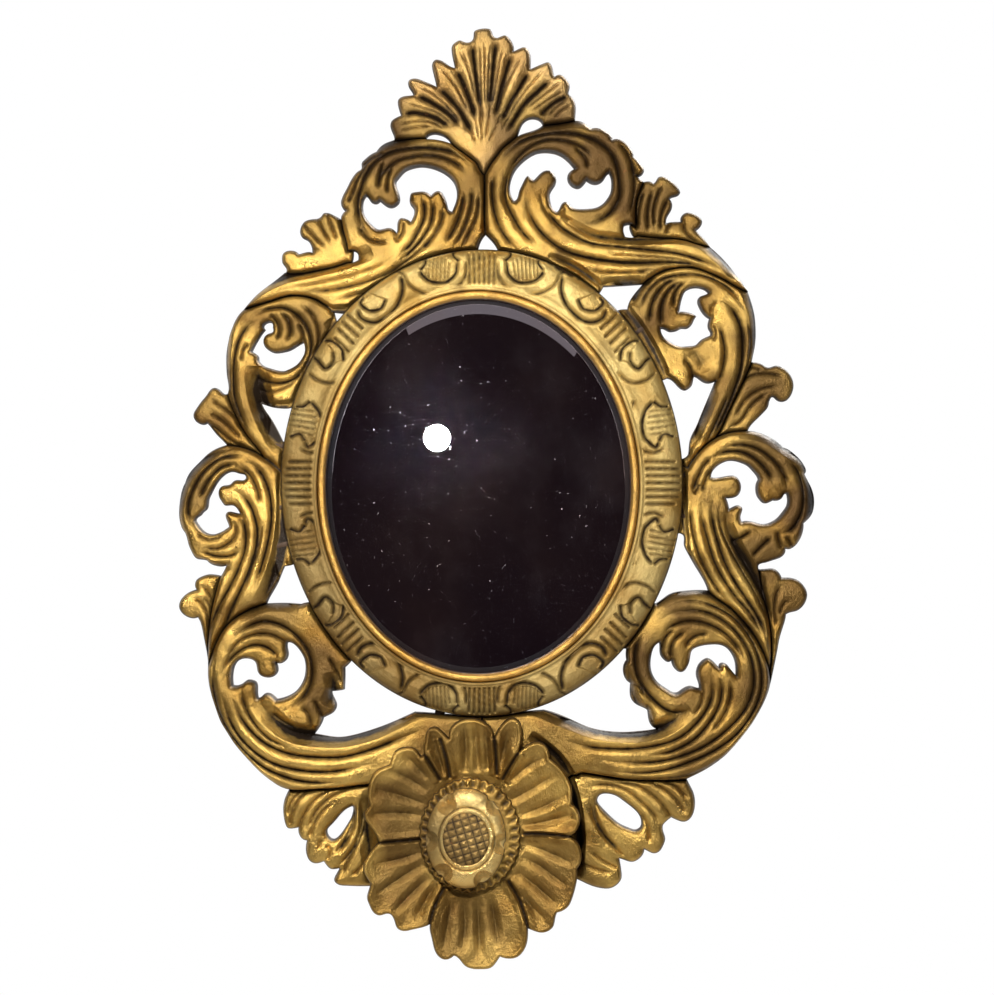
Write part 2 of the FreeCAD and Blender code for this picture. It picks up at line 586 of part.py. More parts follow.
def oval_stack(sections, x=0.0, z=0.0):
    """A solid through ovals; each section is (half width, half height, depth)."""
    wires = [oval_wire(w, h, depth, x, z) for w, h, depth in sections]
    return Part.makeLoft(wires, True, True)


def one_solid(shape):
    """The biggest solid of a boolean result, with its seams cleaned away."""
    solid = max(shape.Solids, key=lambda s: s.Volume)
    return solid.removeSplitter()


def frame_point(angle_deg, inset, depth):
    """A point on the frame's outside at a given angle, moved in by inset."""
    a = math.radians(angle_deg)
    edge = V(FRAME_HALF_W * math.cos(a), -depth, FRAME_HALF_H * math.sin(a))
    out = frame_outward(angle_deg)
    return edge - out * inset


def frame_outward(angle_deg):
    a = math.radians(angle_deg)
    out = V(math.cos(a) / FRAME_HALF_W, 0, math.sin(a) / FRAME_HALF_H)
    return out.normalize()


# ---------------------------------------------------------------- carving
def slab(runs, depth):
    return Part.Face(outline_wire(runs)).extrude(V(0, -depth, 0))


def carved_board(runs, depth, eye=None):
    """A pierced board, cut to seat against the outside of the oval frame."""
    board = slab(runs, depth)
    if eye:
        board = board.cut(slab(eye, depth + 2.0))
    seat = oval_solid(FRAME_HALF_W, FRAME_HALF_H, -1.0, depth + 2.0)
    return one_solid(board.cut(seat))


def carved_pieces():
    """Every carved piece; each is cut back where the one in front overlaps it."""
    pieces = {}
    order = [
        ("bottom_block", None, LOWER_SCROLL_DEPTH, None),
        ("crest_palmette", CREST, CREST_DEPTH, None),
        ("upper_scroll_left", UPPER_SCROLL_LEFT, UPPER_SCROLL_DEPTH, UPPER_EYE_LEFT),
        ("upper_scroll_right", UPPER_SCROLL_RIGHT, UPPER_SCROLL_DEPTH, UPPER_EYE_RIGHT),
        ("flank_scroll_left", FLANK_SCROLL_LEFT, FLANK_SCROLL_DEPTH, FLANK_EYE_LEFT),
        ("flank_scroll_right", FLANK_SCROLL_RIGHT, FLANK_SCROLL_DEPTH, FLANK_EYE_RIGHT),
        ("side_scroll_left", SIDE_SCROLL_LEFT, SIDE_SCROLL_DEPTH, SIDE_EYE_LEFT),
        ("side_scroll_right", SIDE_SCROLL_RIGHT, SIDE_SCROLL_DEPTH, SIDE_EYE_RIGHT),
        ("lower_scroll_left", LOWER_SCROLL_LEFT, LOWER_SCROLL_DEPTH, LOWER_EYE_LEFT),
        ("lower_scroll_right", LOWER_SCROLL_RIGHT, LOWER_SCROLL_DEPTH, LOWER_EYE_RIGHT),
        ("shoulder_leaf_left", SHOULDER_LEAF_LEFT, SHOULDER_LEAF_DEPTH, None),
        ("shoulder_leaf_right", SHOULDER_LEAF_RIGHT, SHOULDER_LEAF_DEPTH, None),
        ("sprig_left_upper", SPRIG_LEFT_UPPER, SPRIG_DEPTH, None),
        ("sprig_right_upper", SPRIG_RIGHT_UPPER, SPRIG_DEPTH, None),
        ("sprig_left_lower", SPRIG_LEFT_LOWER, SPRIG_DEPTH, None),
        ("sprig_right_lower", SPRIG_RIGHT_LOWER, SPRIG_DEPTH, None),
        ("skirt_leaf_left", SKIRT_LEAF_LEFT, SKIRT_LEAF_DEPTH, SKIRT_HOLE_LEFT),
        ("skirt_leaf_right", SKIRT_LEAF_RIGHT, SKIRT_LEAF_DEPTH, SKIRT_HOLE_RIGHT),
    ]
    for name, runs, depth, eye in order:
        if runs is None:
            corners = [on_wall(p) for p in BLOCK]
            wire = Part.makePolygon(corners + corners[:1])
            piece = Part.Face(wire).extrude(V(0, -depth, 0))
        else:
            piece = carved_board(runs, depth, eye)
        for other in pieces.values():
            if piece.BoundBox.intersect(other.BoundBox):
                piece = one_solid(piece.cut(whole_depth(other)))
        pieces[name] = piece
    return pieces


def whole_depth(piece):
    """The piece's back outline, run forward past the deepest carving."""
    back = min(piece.Faces, key=lambda f: abs(f.BoundBox.YMin) + abs(f.BoundBox.YMax))
    return back.extrude(V(0, -FRAME_DEPTH, 0))


# ---------------------------------------------------------------- levels
# Depths in front of the wall, worked out from the sizes above.
BACKBOARD_BACK = BUTTON_STEP_DEPTH
GLASS_BACK = BACKBOARD_BACK + BACKBOARD_T
FLANGE_BACK = GLASS_BACK + GLASS_T
FLANGE_FRONT = FLANGE_BACK + SLIP_FLANGE_T
ROSETTE_BACK = LOWER_SCROLL_DEPTH
PETAL_FLOOR = ROSETTE_BACK + PETAL_FLOOR_T
PETAL_RIM = ROSETTE_BACK + PETAL_RIM_T
COLLAR_FRONT = PETAL_FLOOR + COLLAR_T
BOSS_FRONT = COLLAR_FRONT + BOSS_T
CUT_PAST = 1.0               # how far a cut runs past the face it opens
COLLAR_AT = on_wall(COLLAR_SQUARE)
BOSS_AT = on_wall(BOSS_SQUARE)
HANGER_AT = on_wall(HANGER_SQUARE)


def sight_oval(out, back, front):
    """An oval solid that stands out from the sight edge all round."""
    return oval_solid(SIGHT_HALF_W + out, SIGHT_HALF_H + out, back, front, SIGHT_X, SIGHT_Z)


def sight_stack(sections):
    """As sight_oval, through several (stand out, depth) sections."""
    ovals = [(SIGHT_HALF_W + out, SIGHT_HALF_H + out, depth) for out, depth in sections]
    return oval_stack(ovals, SIGHT_X, SIGHT_Z)


# ---------------------------------------------------------------- frame
def oval_frame():
    outside = [
        (0.0, 0.0),
        (0.0, FRAME_SIDE_DEPTH),
        (FRAME_ROUND * 0.15, FRAME_SIDE_DEPTH + (FRAME_DEPTH - FRAME_SIDE_DEPTH) * 0.5),
        (FRAME_ROUND * 0.5, FRAME_SIDE_DEPTH + (FRAME_DEPTH - FRAME_SIDE_DEPTH) * 0.85),
        (FRAME_ROUND, FRAME_DEPTH),
    ]
    ovals = [(FRAME_HALF_W - inset, FRAME_HALF_H - inset, depth) for inset, depth in outside]
    frame = oval_stack(ovals)
    bore = SLIP_FACE_W + REBATE_CLEARANCE
    hollow = [
        (bore, FLANGE_FRONT - CUT_PAST),
        (bore, FRAME_BED_DEPTH),
        (bore + FRAME_HOLLOW_W * 0.5, FRAME_BED_DEPTH + 1.0),
        (bore + FRAME_HOLLOW_W, FRAME_DEPTH),
        (bore + FRAME_HOLLOW_W, FRAME_DEPTH + CUT_PAST),
    ]
    frame = frame.cut(sight_stack(hollow))
    frame = frame.cut(sight_oval(REBATE_W, -CUT_PAST, FLANGE_FRONT))
    frame = frame.cut(sight_oval(REBATE_W + BUTTON_STEP_W, -CUT_PAST, BUTTON_STEP_DEPTH))
    return frame


def sight_slip():
    """The plain gilt slip: a rounded face with a flange behind the frame."""
    outline = [
        (SLIP_FACE_W, FLANGE_BACK),
        (SLIP_FACE_W, SLIP_DEPTH - SLIP_EDGE),
        (SLIP_FACE_W - SLIP_EDGE * 0.4, SLIP_DEPTH - SLIP_EDGE * 0.3),
        (SLIP_FACE_W - SLIP_EDGE, SLIP_DEPTH),
    ]
    inside = [
        (0.0, FLANGE_BACK - CUT_PAST),
        (0.0, SLIP_DEPTH - SLIP_EDGE * 2.0),
        (SLIP_EDGE * 0.6, SLIP_DEPTH - SLIP_EDGE * 0.6),
        (SLIP_EDGE * 1.4, SLIP_DEPTH + CUT_PAST),
    ]
    flange = sight_oval(REBATE_W - REBATE_CLEARANCE, FLANGE_BACK, FLANGE_FRONT)
    return one_solid(flange.fuse(sight_stack(outline)).cut(sight_stack(inside)))


def mirror_glass():
    """Oval plate with a ground bevel that is wider at the head."""
    edge = REBATE_W - REBATE_CLEARANCE
    half_w = SIGHT_HALF_W + edge
    half_h = SIGHT_HALF_H + edge
    plate = sight_oval(edge, GLASS_BACK, GLASS_BACK + GLASS_EDGE_T)
    rim = oval_wire(half_w, half_h, GLASS_BACK + GLASS_EDGE_T, SIGHT_X, SIGHT_Z)
    flat_h = half_h - BEVEL_W - BEVEL_HEAD_EXTRA / 2.0
    flat_z = SIGHT_Z - BEVEL_HEAD_EXTRA / 2.0
    flat = oval_wire(half_w - BEVEL_W, flat_h, FLANGE_BACK, SIGHT_X, flat_z)
    bevel = Part.makeLoft([rim, flat], True, True)
    return one_solid(plate.fuse(bevel))


def backboard():
    return sight_oval(REBATE_W - REBATE_CLEARANCE, BACKBOARD_BACK, GLASS_BACK)


# ---------------------------------------------------------------- back
def turn_pivots():
    """Places on the step round the back, with the way in to the backboard."""
    out = REBATE_W + TURN_PIVOT_OUT
    places = []
    for index in range(TURN_BUTTONS):
        a = 2.0 * math.pi * (index + 0.5) / TURN_BUTTONS
        half_w = SIGHT_HALF_W + out
        half_h = SIGHT_HALF_H + out
        point = V(SIGHT_X + half_w * math.cos(a), 0, SIGHT_Z + half_h * math.sin(a))
        inward = V(-math.cos(a) / half_w, 0, -math.sin(a) / half_h).normalize()
        places.append((point, inward))
    return places


def turn_button(place):
    point, inward = place
    back = BUTTON_STEP_DEPTH - RUNNING_GAP
    bar = Part.makeBox(TURN_REACH + TURN_TAIL, TURN_T, TURN_W, V(-TURN_TAIL, 0, -TURN_W / 2.0))
    corners = [e for e in bar.Edges if e.BoundBox.XLength < 1e-6 and e.BoundBox.ZLength < 1e-6]
    bar = bar.makeFillet(TURN_W * 0.3, corners)
    bar = bar.cut(rod(V(0, -CUT_PAST, 0), V(0, 1, 0), TURN_SCREW_R + RUNNING_GAP, TURN_T + 2.0 * CUT_PAST))
    angle = math.degrees(math.atan2(inward.z, inward.x))
    bar.rotate(V(0, 0, 0), V(0, -1, 0), angle)
    bar.translate(V(point.x, -back, point.z))
    return bar


def turn_screw(place):
    point = place[0]
    under_head = BUTTON_STEP_DEPTH - TURN_T - 2.0 * RUNNING_GAP
    shank = rod(V(point.x, -under_head, point.z), V(0, -1, 0), TURN_SCREW_R,
                TURN_SCREW_LENGTH)
    head = rod(V(point.x, -under_head, point.z), V(0, 1, 0), TURN_HEAD_R, TURN_HEAD_T)
    slot = Part.makeBox(TURN_HEAD_R * 2.2, TURN_HEAD_T * 0.4, TURN_HEAD_R * 0.25)
    slot.translate(V(point.x - TURN_HEAD_R * 1.1, -under_head + TURN_HEAD_T * 0.7,
                     point.z - TURN_HEAD_R * 0.12))
    return shank.fuse(head).cut(slot).removeSplitter()


def rod(start, way, radius, length):
    return Part.makeCylinder(radius, length, start, way)


def hanger_pivot():
    plate_face = POCKET_DEPTH - PLATE_T
    return V(HANGER_AT.x, -(plate_face - EYE_R), HANGER_AT.z)


def hanger_pocket():
    reach = RING_CORNER_R + RING_BOW_R + RING_WIRE_R + POCKET_ROOM
    half_h = max(reach, PLATE_H / 2.0 + POCKET_ROOM / 2.0)
    half_w = max(RING_BOW_R + RING_WIRE_R, PLATE_W / 2.0) + POCKET_ROOM
    return Part.makeBox(2.0 * half_w, POCKET_DEPTH + CUT_PAST, 2.0 * half_h,
                        V(HANGER_AT.x - half_w, -POCKET_DEPTH, HANGER_AT.z - half_h))


def hanger_screw_places():
    return [V(HANGER_AT.x + sx * HANGER_SCREW_X, -POCKET_DEPTH, HANGER_AT.z + sz * HANGER_SCREW_Z)
            for sx in (-1, 1) for sz in (-1, 1)]


def hanger_screw(place, room=0.0):
    """Countersunk screw whose head lies flush with the plate."""
    head = Part.makeCone(HANGER_SCREW_R + room, HANGER_HEAD_R + room, PLATE_T, place, V(0, 1, 0))
    shank = rod(place, V(0, -1, 0), HANGER_SCREW_R, HANGER_SCREW_LENGTH)
    return head.fuse(shank).removeSplitter()


def hanger_plate():
    """Screwed plate with a knuckle across its middle."""
    pivot = hanger_pivot()
    plate = Part.makeBox(PLATE_W, PLATE_T, PLATE_H,
                         V(HANGER_AT.x - PLATE_W / 2.0, -POCKET_DEPTH, HANGER_AT.z - PLATE_H / 2.0))
    for place in hanger_screw_places():
        plate = plate.cut(hanger_screw(place, RUNNING_GAP))
    left = V(pivot.x - EYE_W / 2.0, pivot.y, pivot.z)
    knuckle = rod(left, V(1, 0, 0), EYE_R, EYE_W)
    foot = Part.makeBox(EYE_W, EYE_R, EYE_R * 2.0, V(left.x, pivot.y - EYE_R, pivot.z - EYE_R))
    bore = rod(left - V(CUT_PAST, 0, 0), V(1, 0, 0), RING_WIRE_R + RUNNING_GAP,
               EYE_W + 2.0 * CUT_PAST)
    return one_solid(plate.fuse(knuckle).fuse(foot).cut(bore))


def hanger_ring():
    """D-shaped ring; its straight bar turns in the knuckle."""
    pivot = hanger_pivot()
    bar_half = RING_BOW_R - RING_CORNER_R
    corner = RING_CORNER_R
    bow = RING_BOW_R
    diagonal = corner * math.sqrt(0.5)

    def at(x, z):
        return pivot + V(x, 0, z)

    path = Part.Wire([
        Part.makeLine(at(-bar_half, 0), at(bar_half, 0)),
        Part.Arc(at(bar_half, 0), at(bar_half + diagonal, diagonal - corner), at(bow, -corner)).toShape(),
        Part.Arc(at(bow, -corner), at(0, -corner - bow), at(-bow, -corner)).toShape(),
        Part.Arc(at(-bow, -corner), at(-bar_half - diagonal, diagonal - corner), at(-bar_half, 0)).toShape(),
    ])
    section = Part.Wire(Part.Circle(at(-bar_half, 0), V(1, 0, 0), RING_WIRE_R).toShape())
    return path.makePipeShell([section], True, False)


# ---------------------------------------------------------------- rosette
def rosette_dowel(room=0.0):
    back = ROSETTE_BACK - ROSETTE_DOWEL_INTO_BLOCK
    front = COLLAR_FRONT + ROSETTE_DOWEL_INTO_BOSS
    end = DOWEL_END_ROOM if room else 0.0
    return rod(V(BOSS_AT.x, -back + end, BOSS_AT.z), V(0, -1, 0), ROSETTE_DOWEL_R + room,
               front - back + 2.0 * end)


def rosette_petals():
    petals = Part.Face(outline_wire(ROSETTE))
    petals.translate(V(0, -ROSETTE_BACK, 0))
    petals = petals.extrude(V(0, ROSETTE_BACK - PETAL_RIM, 0))
    reach = petals.BoundBox.DiagonalLength
    flat_w = COLLAR_HALF_W + PETAL_LAP
    flat_h = COLLAR_HALF_H + PETAL_LAP
    rise = PETAL_RIM - PETAL_FLOOR
    dish = [
        (flat_w, flat_h, PETAL_FLOOR),
        (flat_w + PETAL_RISE_W * 9.0 / 19.0, flat_h + PETAL_RISE_H * 11.0 / 23.0, PETAL_FLOOR + rise * 0.35),
        (flat_w + PETAL_RISE_W, flat_h + PETAL_RISE_H, PETAL_RIM),
        (flat_w + PETAL_RISE_W + PETAL_LIP, flat_h + PETAL_RISE_H + PETAL_LIP, PETAL_RIM + CUT_PAST),
    ]
    petals = petals.cut(oval_stack(dish, COLLAR_AT.x, COLLAR_AT.z))
    for index in range(PETAL_GROOVES):
        groove = Part.makeBox(reach, PETAL_RIM - PETAL_FLOOR, PETAL_GROOVE_W,
                              V(0, 0, -PETAL_GROOVE_W / 2.0))
        turn = PETAL_GROOVE_START_DEG + 360.0 * (index + 0.5) / PETAL_GROOVES
        groove.rotate(V(0, 0, 0), V(0, -1, 0), turn)
        groove.translate(V(COLLAR_AT.x, -PETAL_RIM - CUT_PAST, COLLAR_AT.z))
        petals = petals.cut(groove)
    return one_solid(petals.cut(rosette_dowel(DOWEL_FIT)))


def rosette_collar():
    """Oval collar with a toothed edge."""
    points = []
    for index in range(2 * COLLAR_TEETH):
        a = math.pi * index / COLLAR_TEETH
        tooth = COLLAR_TOOTH * (index % 2)
        points.append(V(COLLAR_AT.x + (COLLAR_HALF_W - tooth) * math.cos(a), -PETAL_FLOOR,
                        COLLAR_AT.z + (COLLAR_HALF_H - tooth) * math.sin(a)))
    face = Part.Face(Part.makePolygon(points + points[:1]))
    collar = face.extrude(V(0, -COLLAR_T, 0))
    return one_solid(collar.cut(rosette_dowel(DOWEL_FIT)))


def rosette_boss():
    """Smooth boss, notched into lobes, with a seat for the seed button."""
    sections = [
        (BOSS_HALF_W - 2.0, BOSS_HALF_H - 2.0, COLLAR_FRONT),
        (BOSS_HALF_W, BOSS_HALF_H, COLLAR_FRONT + 4.0),
        (BOSS_HALF_W - BOSS_ROUND * 0.4, BOSS_HALF_H - BOSS_ROUND * 0.4, BOSS_FRONT - BOSS_ROUND * 0.6),
        (BOSS_HALF_W - BOSS_ROUND * 1.5, BOSS_HALF_H - BOSS_ROUND * 1.5, BOSS_FRONT),
    ]
    boss = oval_stack(sections, BOSS_AT.x, BOSS_AT.z)
    for index in range(BOSS_NOTCHES):
        a = math.radians(BOSS_NOTCH_START_DEG + 360.0 * index / BOSS_NOTCHES)
        edge = V(BOSS_AT.x + BOSS_HALF_W * math.cos(a), -COLLAR_FRONT + CUT_PAST,
                 BOSS_AT.z + BOSS_HALF_H * math.sin(a))
        boss = boss.cut(rod(edge, V(0, -1, 0), BOSS_NOTCH_R, BOSS_T + 2.0 * CUT_PAST))
    seat = oval_solid(SEED_HALF_W, SEED_HALF_H, BOSS_FRONT - SEED_SEAT, BOSS_FRONT + CUT_PAST,
                      BOSS_AT.x, BOSS_AT.z)
    return one_solid(boss.cut(seat).cut(rosette_dowel(DOWEL_FIT)))


def rosette_seed():
    """Cross-hatched button let into the boss."""
    back = BOSS_FRONT - SEED_SEAT
    front = BOSS_FRONT + SEED_STAND
    half_w = SEED_HALF_W - DOWEL_FIT
    half_h = SEED_HALF_H - DOWEL_FIT
    sections = [
        (half_w, half_h, back),
        (half_w, half_h, BOSS_FRONT + SEED_STAND * 0.3),
        (half_w - SEED_STAND * 0.6, half_h - SEED_STAND * 0.6, front),
    ]
    seed = oval_stack(sections, BOSS_AT.x, BOSS_AT.z)
    count = int(SEED_HALF_H / SEED_PITCH)
    for slant in (SEED_SLANT_DEG, SEED_SLANT_DEG + 90.0):
        for index in range(-count, count + 1):
            groove = Part.makeBox(4.0 * SEED_HALF_H, SEED_GROOVE_DEPTH + CUT_PAST, SEED_GROOVE_W)
            groove.translate(V(-2.0 * SEED_HALF_H, 0, index * SEED_PITCH - SEED_GROOVE_W / 2.0))
            groove.rotate(V(0, 0, 0), V(0, -1, 0), slant)
            groove.translate(V(BOSS_AT.x, -front - CUT_PAST, BOSS_AT.z))
            seed = seed.cut(groove)
    return one_solid(seed)


# ---------------------------------------------------------------- dowels
def dowel(angle_deg, room=0.0):
    end = DOWEL_END_ROOM if room else 0.0
    start = frame_point(angle_deg, DOWEL_INTO_FRAME + end, DOWEL_DEPTH)
    length = DOWEL_INTO_FRAME + DOWEL_INTO_CARVING + 2.0 * end
    return rod(start, frame_outward(angle_deg), DOWEL_R + room, length)


def dowel_angles():
    return [(name, angle) for name, angles in DOWELS.items() for angle in angles]


def build():
    pieces = carved_pieces()
    frame = oval_frame()
    for name, angle in dowel_angles():
        hole = dowel(angle, DOWEL_FIT)
        frame = frame.cut(hole)
        pieces[name] = pieces[name].cut(hole)
    places = turn_pivots()
    screws = [turn_screw(place) for place in places]
    for screw in screws:
        frame = frame.cut(screw)
    for side in ("upper_scroll_left", "upper_scroll_right"):
        pieces[side] = pieces[side].cut(hanger_pocket())
        for place in hanger_screw_places():
            pieces[side] = pieces[side].cut(hanger_screw(place))
    pieces["bottom_block"] = pieces["bottom_block"].cut(rosette_dowel(DOWEL_FIT))
    pieces = {name: one_solid(shape) for name, shape in pieces.items()}

    pieces["oval_frame"] = one_solid(frame)
    pieces["sight_slip"] = sight_slip()
    pieces["mirror_glass"] = mirror_glass()
    pieces["backboard"] = backboard()
    for index, place in enumerate(places):
        pieces["turn_button_%d" % (index + 1)] = turn_button(place)
    pieces["turn_button_screws"] = Part.makeCompound(screws)
    pieces["hanger_plate"] = hanger_plate()
    pieces["hanger_screws"] = Part.makeCompound([hanger_screw(p) for p in hanger_screw_places()])
    pieces["hanger_ring"] = hanger_ring()
    pieces["joint_dowels"] = Part.makeCompound([dowel(angle) for name, angle in dowel_angles()])
    pieces["rosette_petals"] = rosette_petals()
    pieces["rosette_collar"] = rosette_collar()
    pieces["rosette_boss"] = rosette_boss()
    pieces["rosette_seed"] = rosette_seed()
    pieces["rosette_dowel"] = rosette_dowel()
    return pieces


if __name__ == "__main__":
    os.makedirs("parts", exist_ok=True)
    for node, shape in build().items():
        shape.exportStep("parts/%s.step" % node)
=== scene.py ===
import math

import bpy
import numpy as np
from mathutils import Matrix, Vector
from mathutils.geometry import delaunay_2d_cdt


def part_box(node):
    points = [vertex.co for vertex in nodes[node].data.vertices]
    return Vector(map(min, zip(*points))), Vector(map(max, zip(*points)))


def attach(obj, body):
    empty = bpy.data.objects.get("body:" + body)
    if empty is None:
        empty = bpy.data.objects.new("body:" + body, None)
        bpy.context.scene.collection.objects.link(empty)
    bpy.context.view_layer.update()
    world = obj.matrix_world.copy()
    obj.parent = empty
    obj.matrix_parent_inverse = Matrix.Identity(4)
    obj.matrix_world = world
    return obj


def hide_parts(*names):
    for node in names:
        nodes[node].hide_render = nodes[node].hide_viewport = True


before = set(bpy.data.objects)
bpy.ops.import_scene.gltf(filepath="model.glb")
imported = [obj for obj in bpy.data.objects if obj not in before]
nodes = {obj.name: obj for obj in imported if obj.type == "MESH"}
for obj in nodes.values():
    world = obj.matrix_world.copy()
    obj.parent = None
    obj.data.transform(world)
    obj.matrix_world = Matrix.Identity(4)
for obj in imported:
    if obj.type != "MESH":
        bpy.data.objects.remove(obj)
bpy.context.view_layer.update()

# ---------------------------------------------------------------- the drawing's scale
MM = 0.001
MM_PER_PX = 0.8
PX_X = 482.0                # the frame's middle in the photograph
PX_Z = 483.0

# ---------------------------------------------------------------- the boards, in mm
GRID = 0.72                 # spacing of the carved surface's points
CURVE_STEPS = 7             # points of a stroke's curve between two drawn points
RIM_ROUND = 4.0             # how far the round-over of a carved board comes in
RIM_LEFT = 0.58             # how much of the depth is left at the outline
RIM_SEEN = 14.0             # no place counts as further from the outline than this
DOME_ROUND = 15.0           # a board's wide, shallow swell
DOME_SHARE = 0.16
VALLEY_WIDER = 1.6          # a valley's width against its drawn stroke
VALLEY_MOST = 9.0           # no run of valleys goes deeper than this
VALLEY_BEND = 0.97          # how far the reeds' round sides run down into a valley
VALLEY_FULL = 0.757         # the bend's depth on the valley's own line
TAPER_BEND = 0.6            # below 1, a stroke's ends run out late and fast
STROKE_TAPER = 0.16         # the share of a stroke over which its ends run out
SLOPE_TAPER = 0.3
KNOB_CLEARS = 3.0           # a knob this high would clear all the groove under it
KNOB_LEAVES = 0.2           # the share of a groove that no knob clears
KNOB_SHARE = 0.4            # how much of its own height a knob stands up among grooves
KNOB_FROM = 0.5             # carving at least this deep lets a knob stand up
HAND_DEEP = 0.4             # the unevenness of the hand work, either way
HAND_ACROSS, HAND_UP = 4.7, 5.9         # mm to a radian of its waves
BEND_ACROSS, BEND_UP = 9.0, 8.0         # mm to a radian of what bends those waves
DOWEL_COVER = 17.8          # wood kept in front of the dowels
DOWEL_REACH = [1.08, 1.11]  # where that wood ends, against the frame's half size
LEAST_WOOD = 0.28           # the share of a board's depth that no cut goes below
MOST_COVER = 0.72           # the share of a board's depth that the dowels' cover may take
POCKET_DEPTH = 8.5          # the hanger's pocket in the back
POCKET_WALL = 0.25          # how far its walls lean in
POCKET_WOOD = 3.0           # wood left in front of the pocket
SEAM_PAST = 6.0             # the pocket's lines run past the seam between the scrolls
FLAT_NEAR = 0.02            # a point this near to a depth lies on that flat face
PATCH_HEART = 1.25          # above 1, a patch has a level middle
SHARP_CARVING, SHARP_ROUND, SHARP_GLASS = 50, 40, 4     # degrees that make an edge sharp

# ---------------------------------------------------------------- the carver's strokes
# Each cut and slope is (half width px, depth mm, points px): a cut is a valley and a
# slope is a flat bevel, finished dark as painted shade. Each knob is (radius px, height mm,
# x px, y px) and stands up.

CREST_CUTS = [
    (5.5, 6.2, [(472, 38.5), (474, 60), (477, 85), (480, 110)]),
    (6.5, 6.4, [(454.5, 66), (462, 80), (470, 100), (476, 120)]),
    (6.5, 6.4, [(436, 85), (450, 98), (463, 115), (473, 135)]),
    (6.5, 6.4, [(413, 93.5), (430, 101), (448, 113), (462, 128)]),
    (6.0, 6.2, [(400.5, 114), (415, 112), (435, 117), (452, 128)]),
    (5.5, 6.0, [(497, 36), (495, 50), (492, 80), (489, 110)]),
    (6.5, 6.4, [(513.5, 49.5), (508, 65), (501, 90), (494, 120)]),
    (6.5, 6.4, [(531, 67), (521, 85), (510, 103), (500, 125)]),
    (6.5, 6.4, [(555, 75), (541, 88), (526, 102), (517, 115), (505, 135)]),
    (5.5, 6.0, [(570.5, 94), (556, 101), (545, 110), (540, 118)]),
    (3.0, 2.3, [(480, 37), (480, 60), (480.5, 95), (482, 130)]),
    (3.0, 2.3, [(484.5, 37), (485, 70), (485, 110)]),
    (3.0, 2.3, [(490, 45), (489, 75), (487, 110)]),
    (3.0, 2.3, [(459, 48), (466, 62), (472, 80), (475, 97)]),
    (3.0, 2.3, [(438, 66), (450, 78), (461, 95), (470, 115)]),
    (3.0, 2.3, [(415, 84), (430, 92), (447, 106), (462, 124)]),
    (3.0, 2.3, [(403, 102), (418, 106), (437, 112), (455, 126)]),
    (3.0, 2.3, [(396, 125), (412, 121), (430, 121), (446, 128)]),
    (3.0, 2.3, [(399, 131), (415, 127), (432, 126)]),
    (3.0, 2.3, [(505, 42), (500, 58), (496, 80), (491, 110)]),
    (3.0, 2.3, [(524, 52), (514, 68), (504, 88), (496, 115)]),
    (3.0, 2.3, [(546, 67), (534, 80), (522, 94), (511, 112), (500, 135)]),
    (3.0, 2.3, [(563, 80), (549, 90), (536, 100), (526, 108)]),
    (3.0, 2.3, [(566, 90), (552, 97), (540, 105), (530, 112)]),
    (2.4, 1.8, [(470, 98), (475, 118), (480, 142)]),
    (2.4, 1.8, [(480, 95), (481, 118), (482, 146)]),
    (2.4, 1.8, [(492, 98), (489, 118), (485, 142)]),
    (2.4, 1.8, [(459, 112), (468, 125), (477, 144)]),
    (2.4, 1.8, [(502, 112), (496, 126), (488, 144)]),
    (3.0, 2.3, [(572, 104), (562, 110), (554, 118)]),
    (3.0, 2.3, [(566, 99), (556, 106), (548, 116)]),
]

UPPER_LEFT_CUTS = [
    (5.5, 5.5, [(476, 168), (455, 153), (430, 148), (405, 149), (385, 155), (370, 168),
                (362, 185), (358, 205), (362, 225), (372, 240)]),
    (5.0, 4.5, [(470, 180), (458, 165), (440, 157), (420, 156), (400, 160), (388, 168),
                (380, 178), (375, 190)]),
    (4.5, 5.0, [(463, 190), (462, 205), (456, 225), (445, 245)]),
    (4.5, 4.5, [(472, 185), (471, 205), (464, 228), (452, 250)]),
    (4.0, 4.0, [(480, 190), (477, 215), (468, 235), (459, 252)]),
    (4.5, 5.0, [(421, 193), (424, 205), (424, 218), (418, 232), (410, 245), (398, 256)]),
    (4.5, 5.0, [(432, 195), (433, 210), (430, 225), (421, 240), (412, 250), (398, 263)]),
    (4.5, 4.5, [(444, 205), (441, 222), (432, 238), (420, 252)]),
    (4.5, 4.0, [(300, 293), (330, 290), (355, 285), (385, 275), (405, 262), (425, 245),
                (435, 230)]),
    (4.0, 3.5, [(330, 303), (350, 296), (375, 290), (400, 278), (420, 262), (440, 250)]),
    (3.5, 2.6, [(285, 290), (320, 282), (350, 275), (378, 266), (395, 255)]),
    (3.0, 2.0, [(345, 306), (375, 299), (400, 288), (425, 268)]),
    (4.0, 4.0, [(345, 207), (352, 195), (358, 178), (368, 163)]),
    (4.0, 4.0, [(361, 167), (372, 158), (385, 152)]),
    (3.5, 4.5, [(383, 160), (380, 175), (378, 190)]),
    (3.5, 4.0, [(391, 166), (388, 180), (387, 195)]),
    (3.5, 3.5, [(404, 220), (402, 232), (395, 243)]),
    (4.0, 4.0, [(357, 225), (370, 240), (390, 243)]),
]
UPPER_LEFT_SLOPES = [
    (9.0, 12.0, [(243, 300), (262, 285), (285, 275), (320, 267), (350, 259), (372, 251)]),
    (8.0, 9.0, [(350, 180), (362, 158), (380, 145), (405, 139), (428, 139)]),
    (8.0, 9.0, [(300, 308), (330, 312), (360, 311)]),
]
UPPER_LEFT_KNOBS = [(5.5, 2.5, 375, 198), (5.5, 2.5, 392, 203), (5.0, 2.0, 421, 191),
                    (6.0, 2.0, 406, 214)]

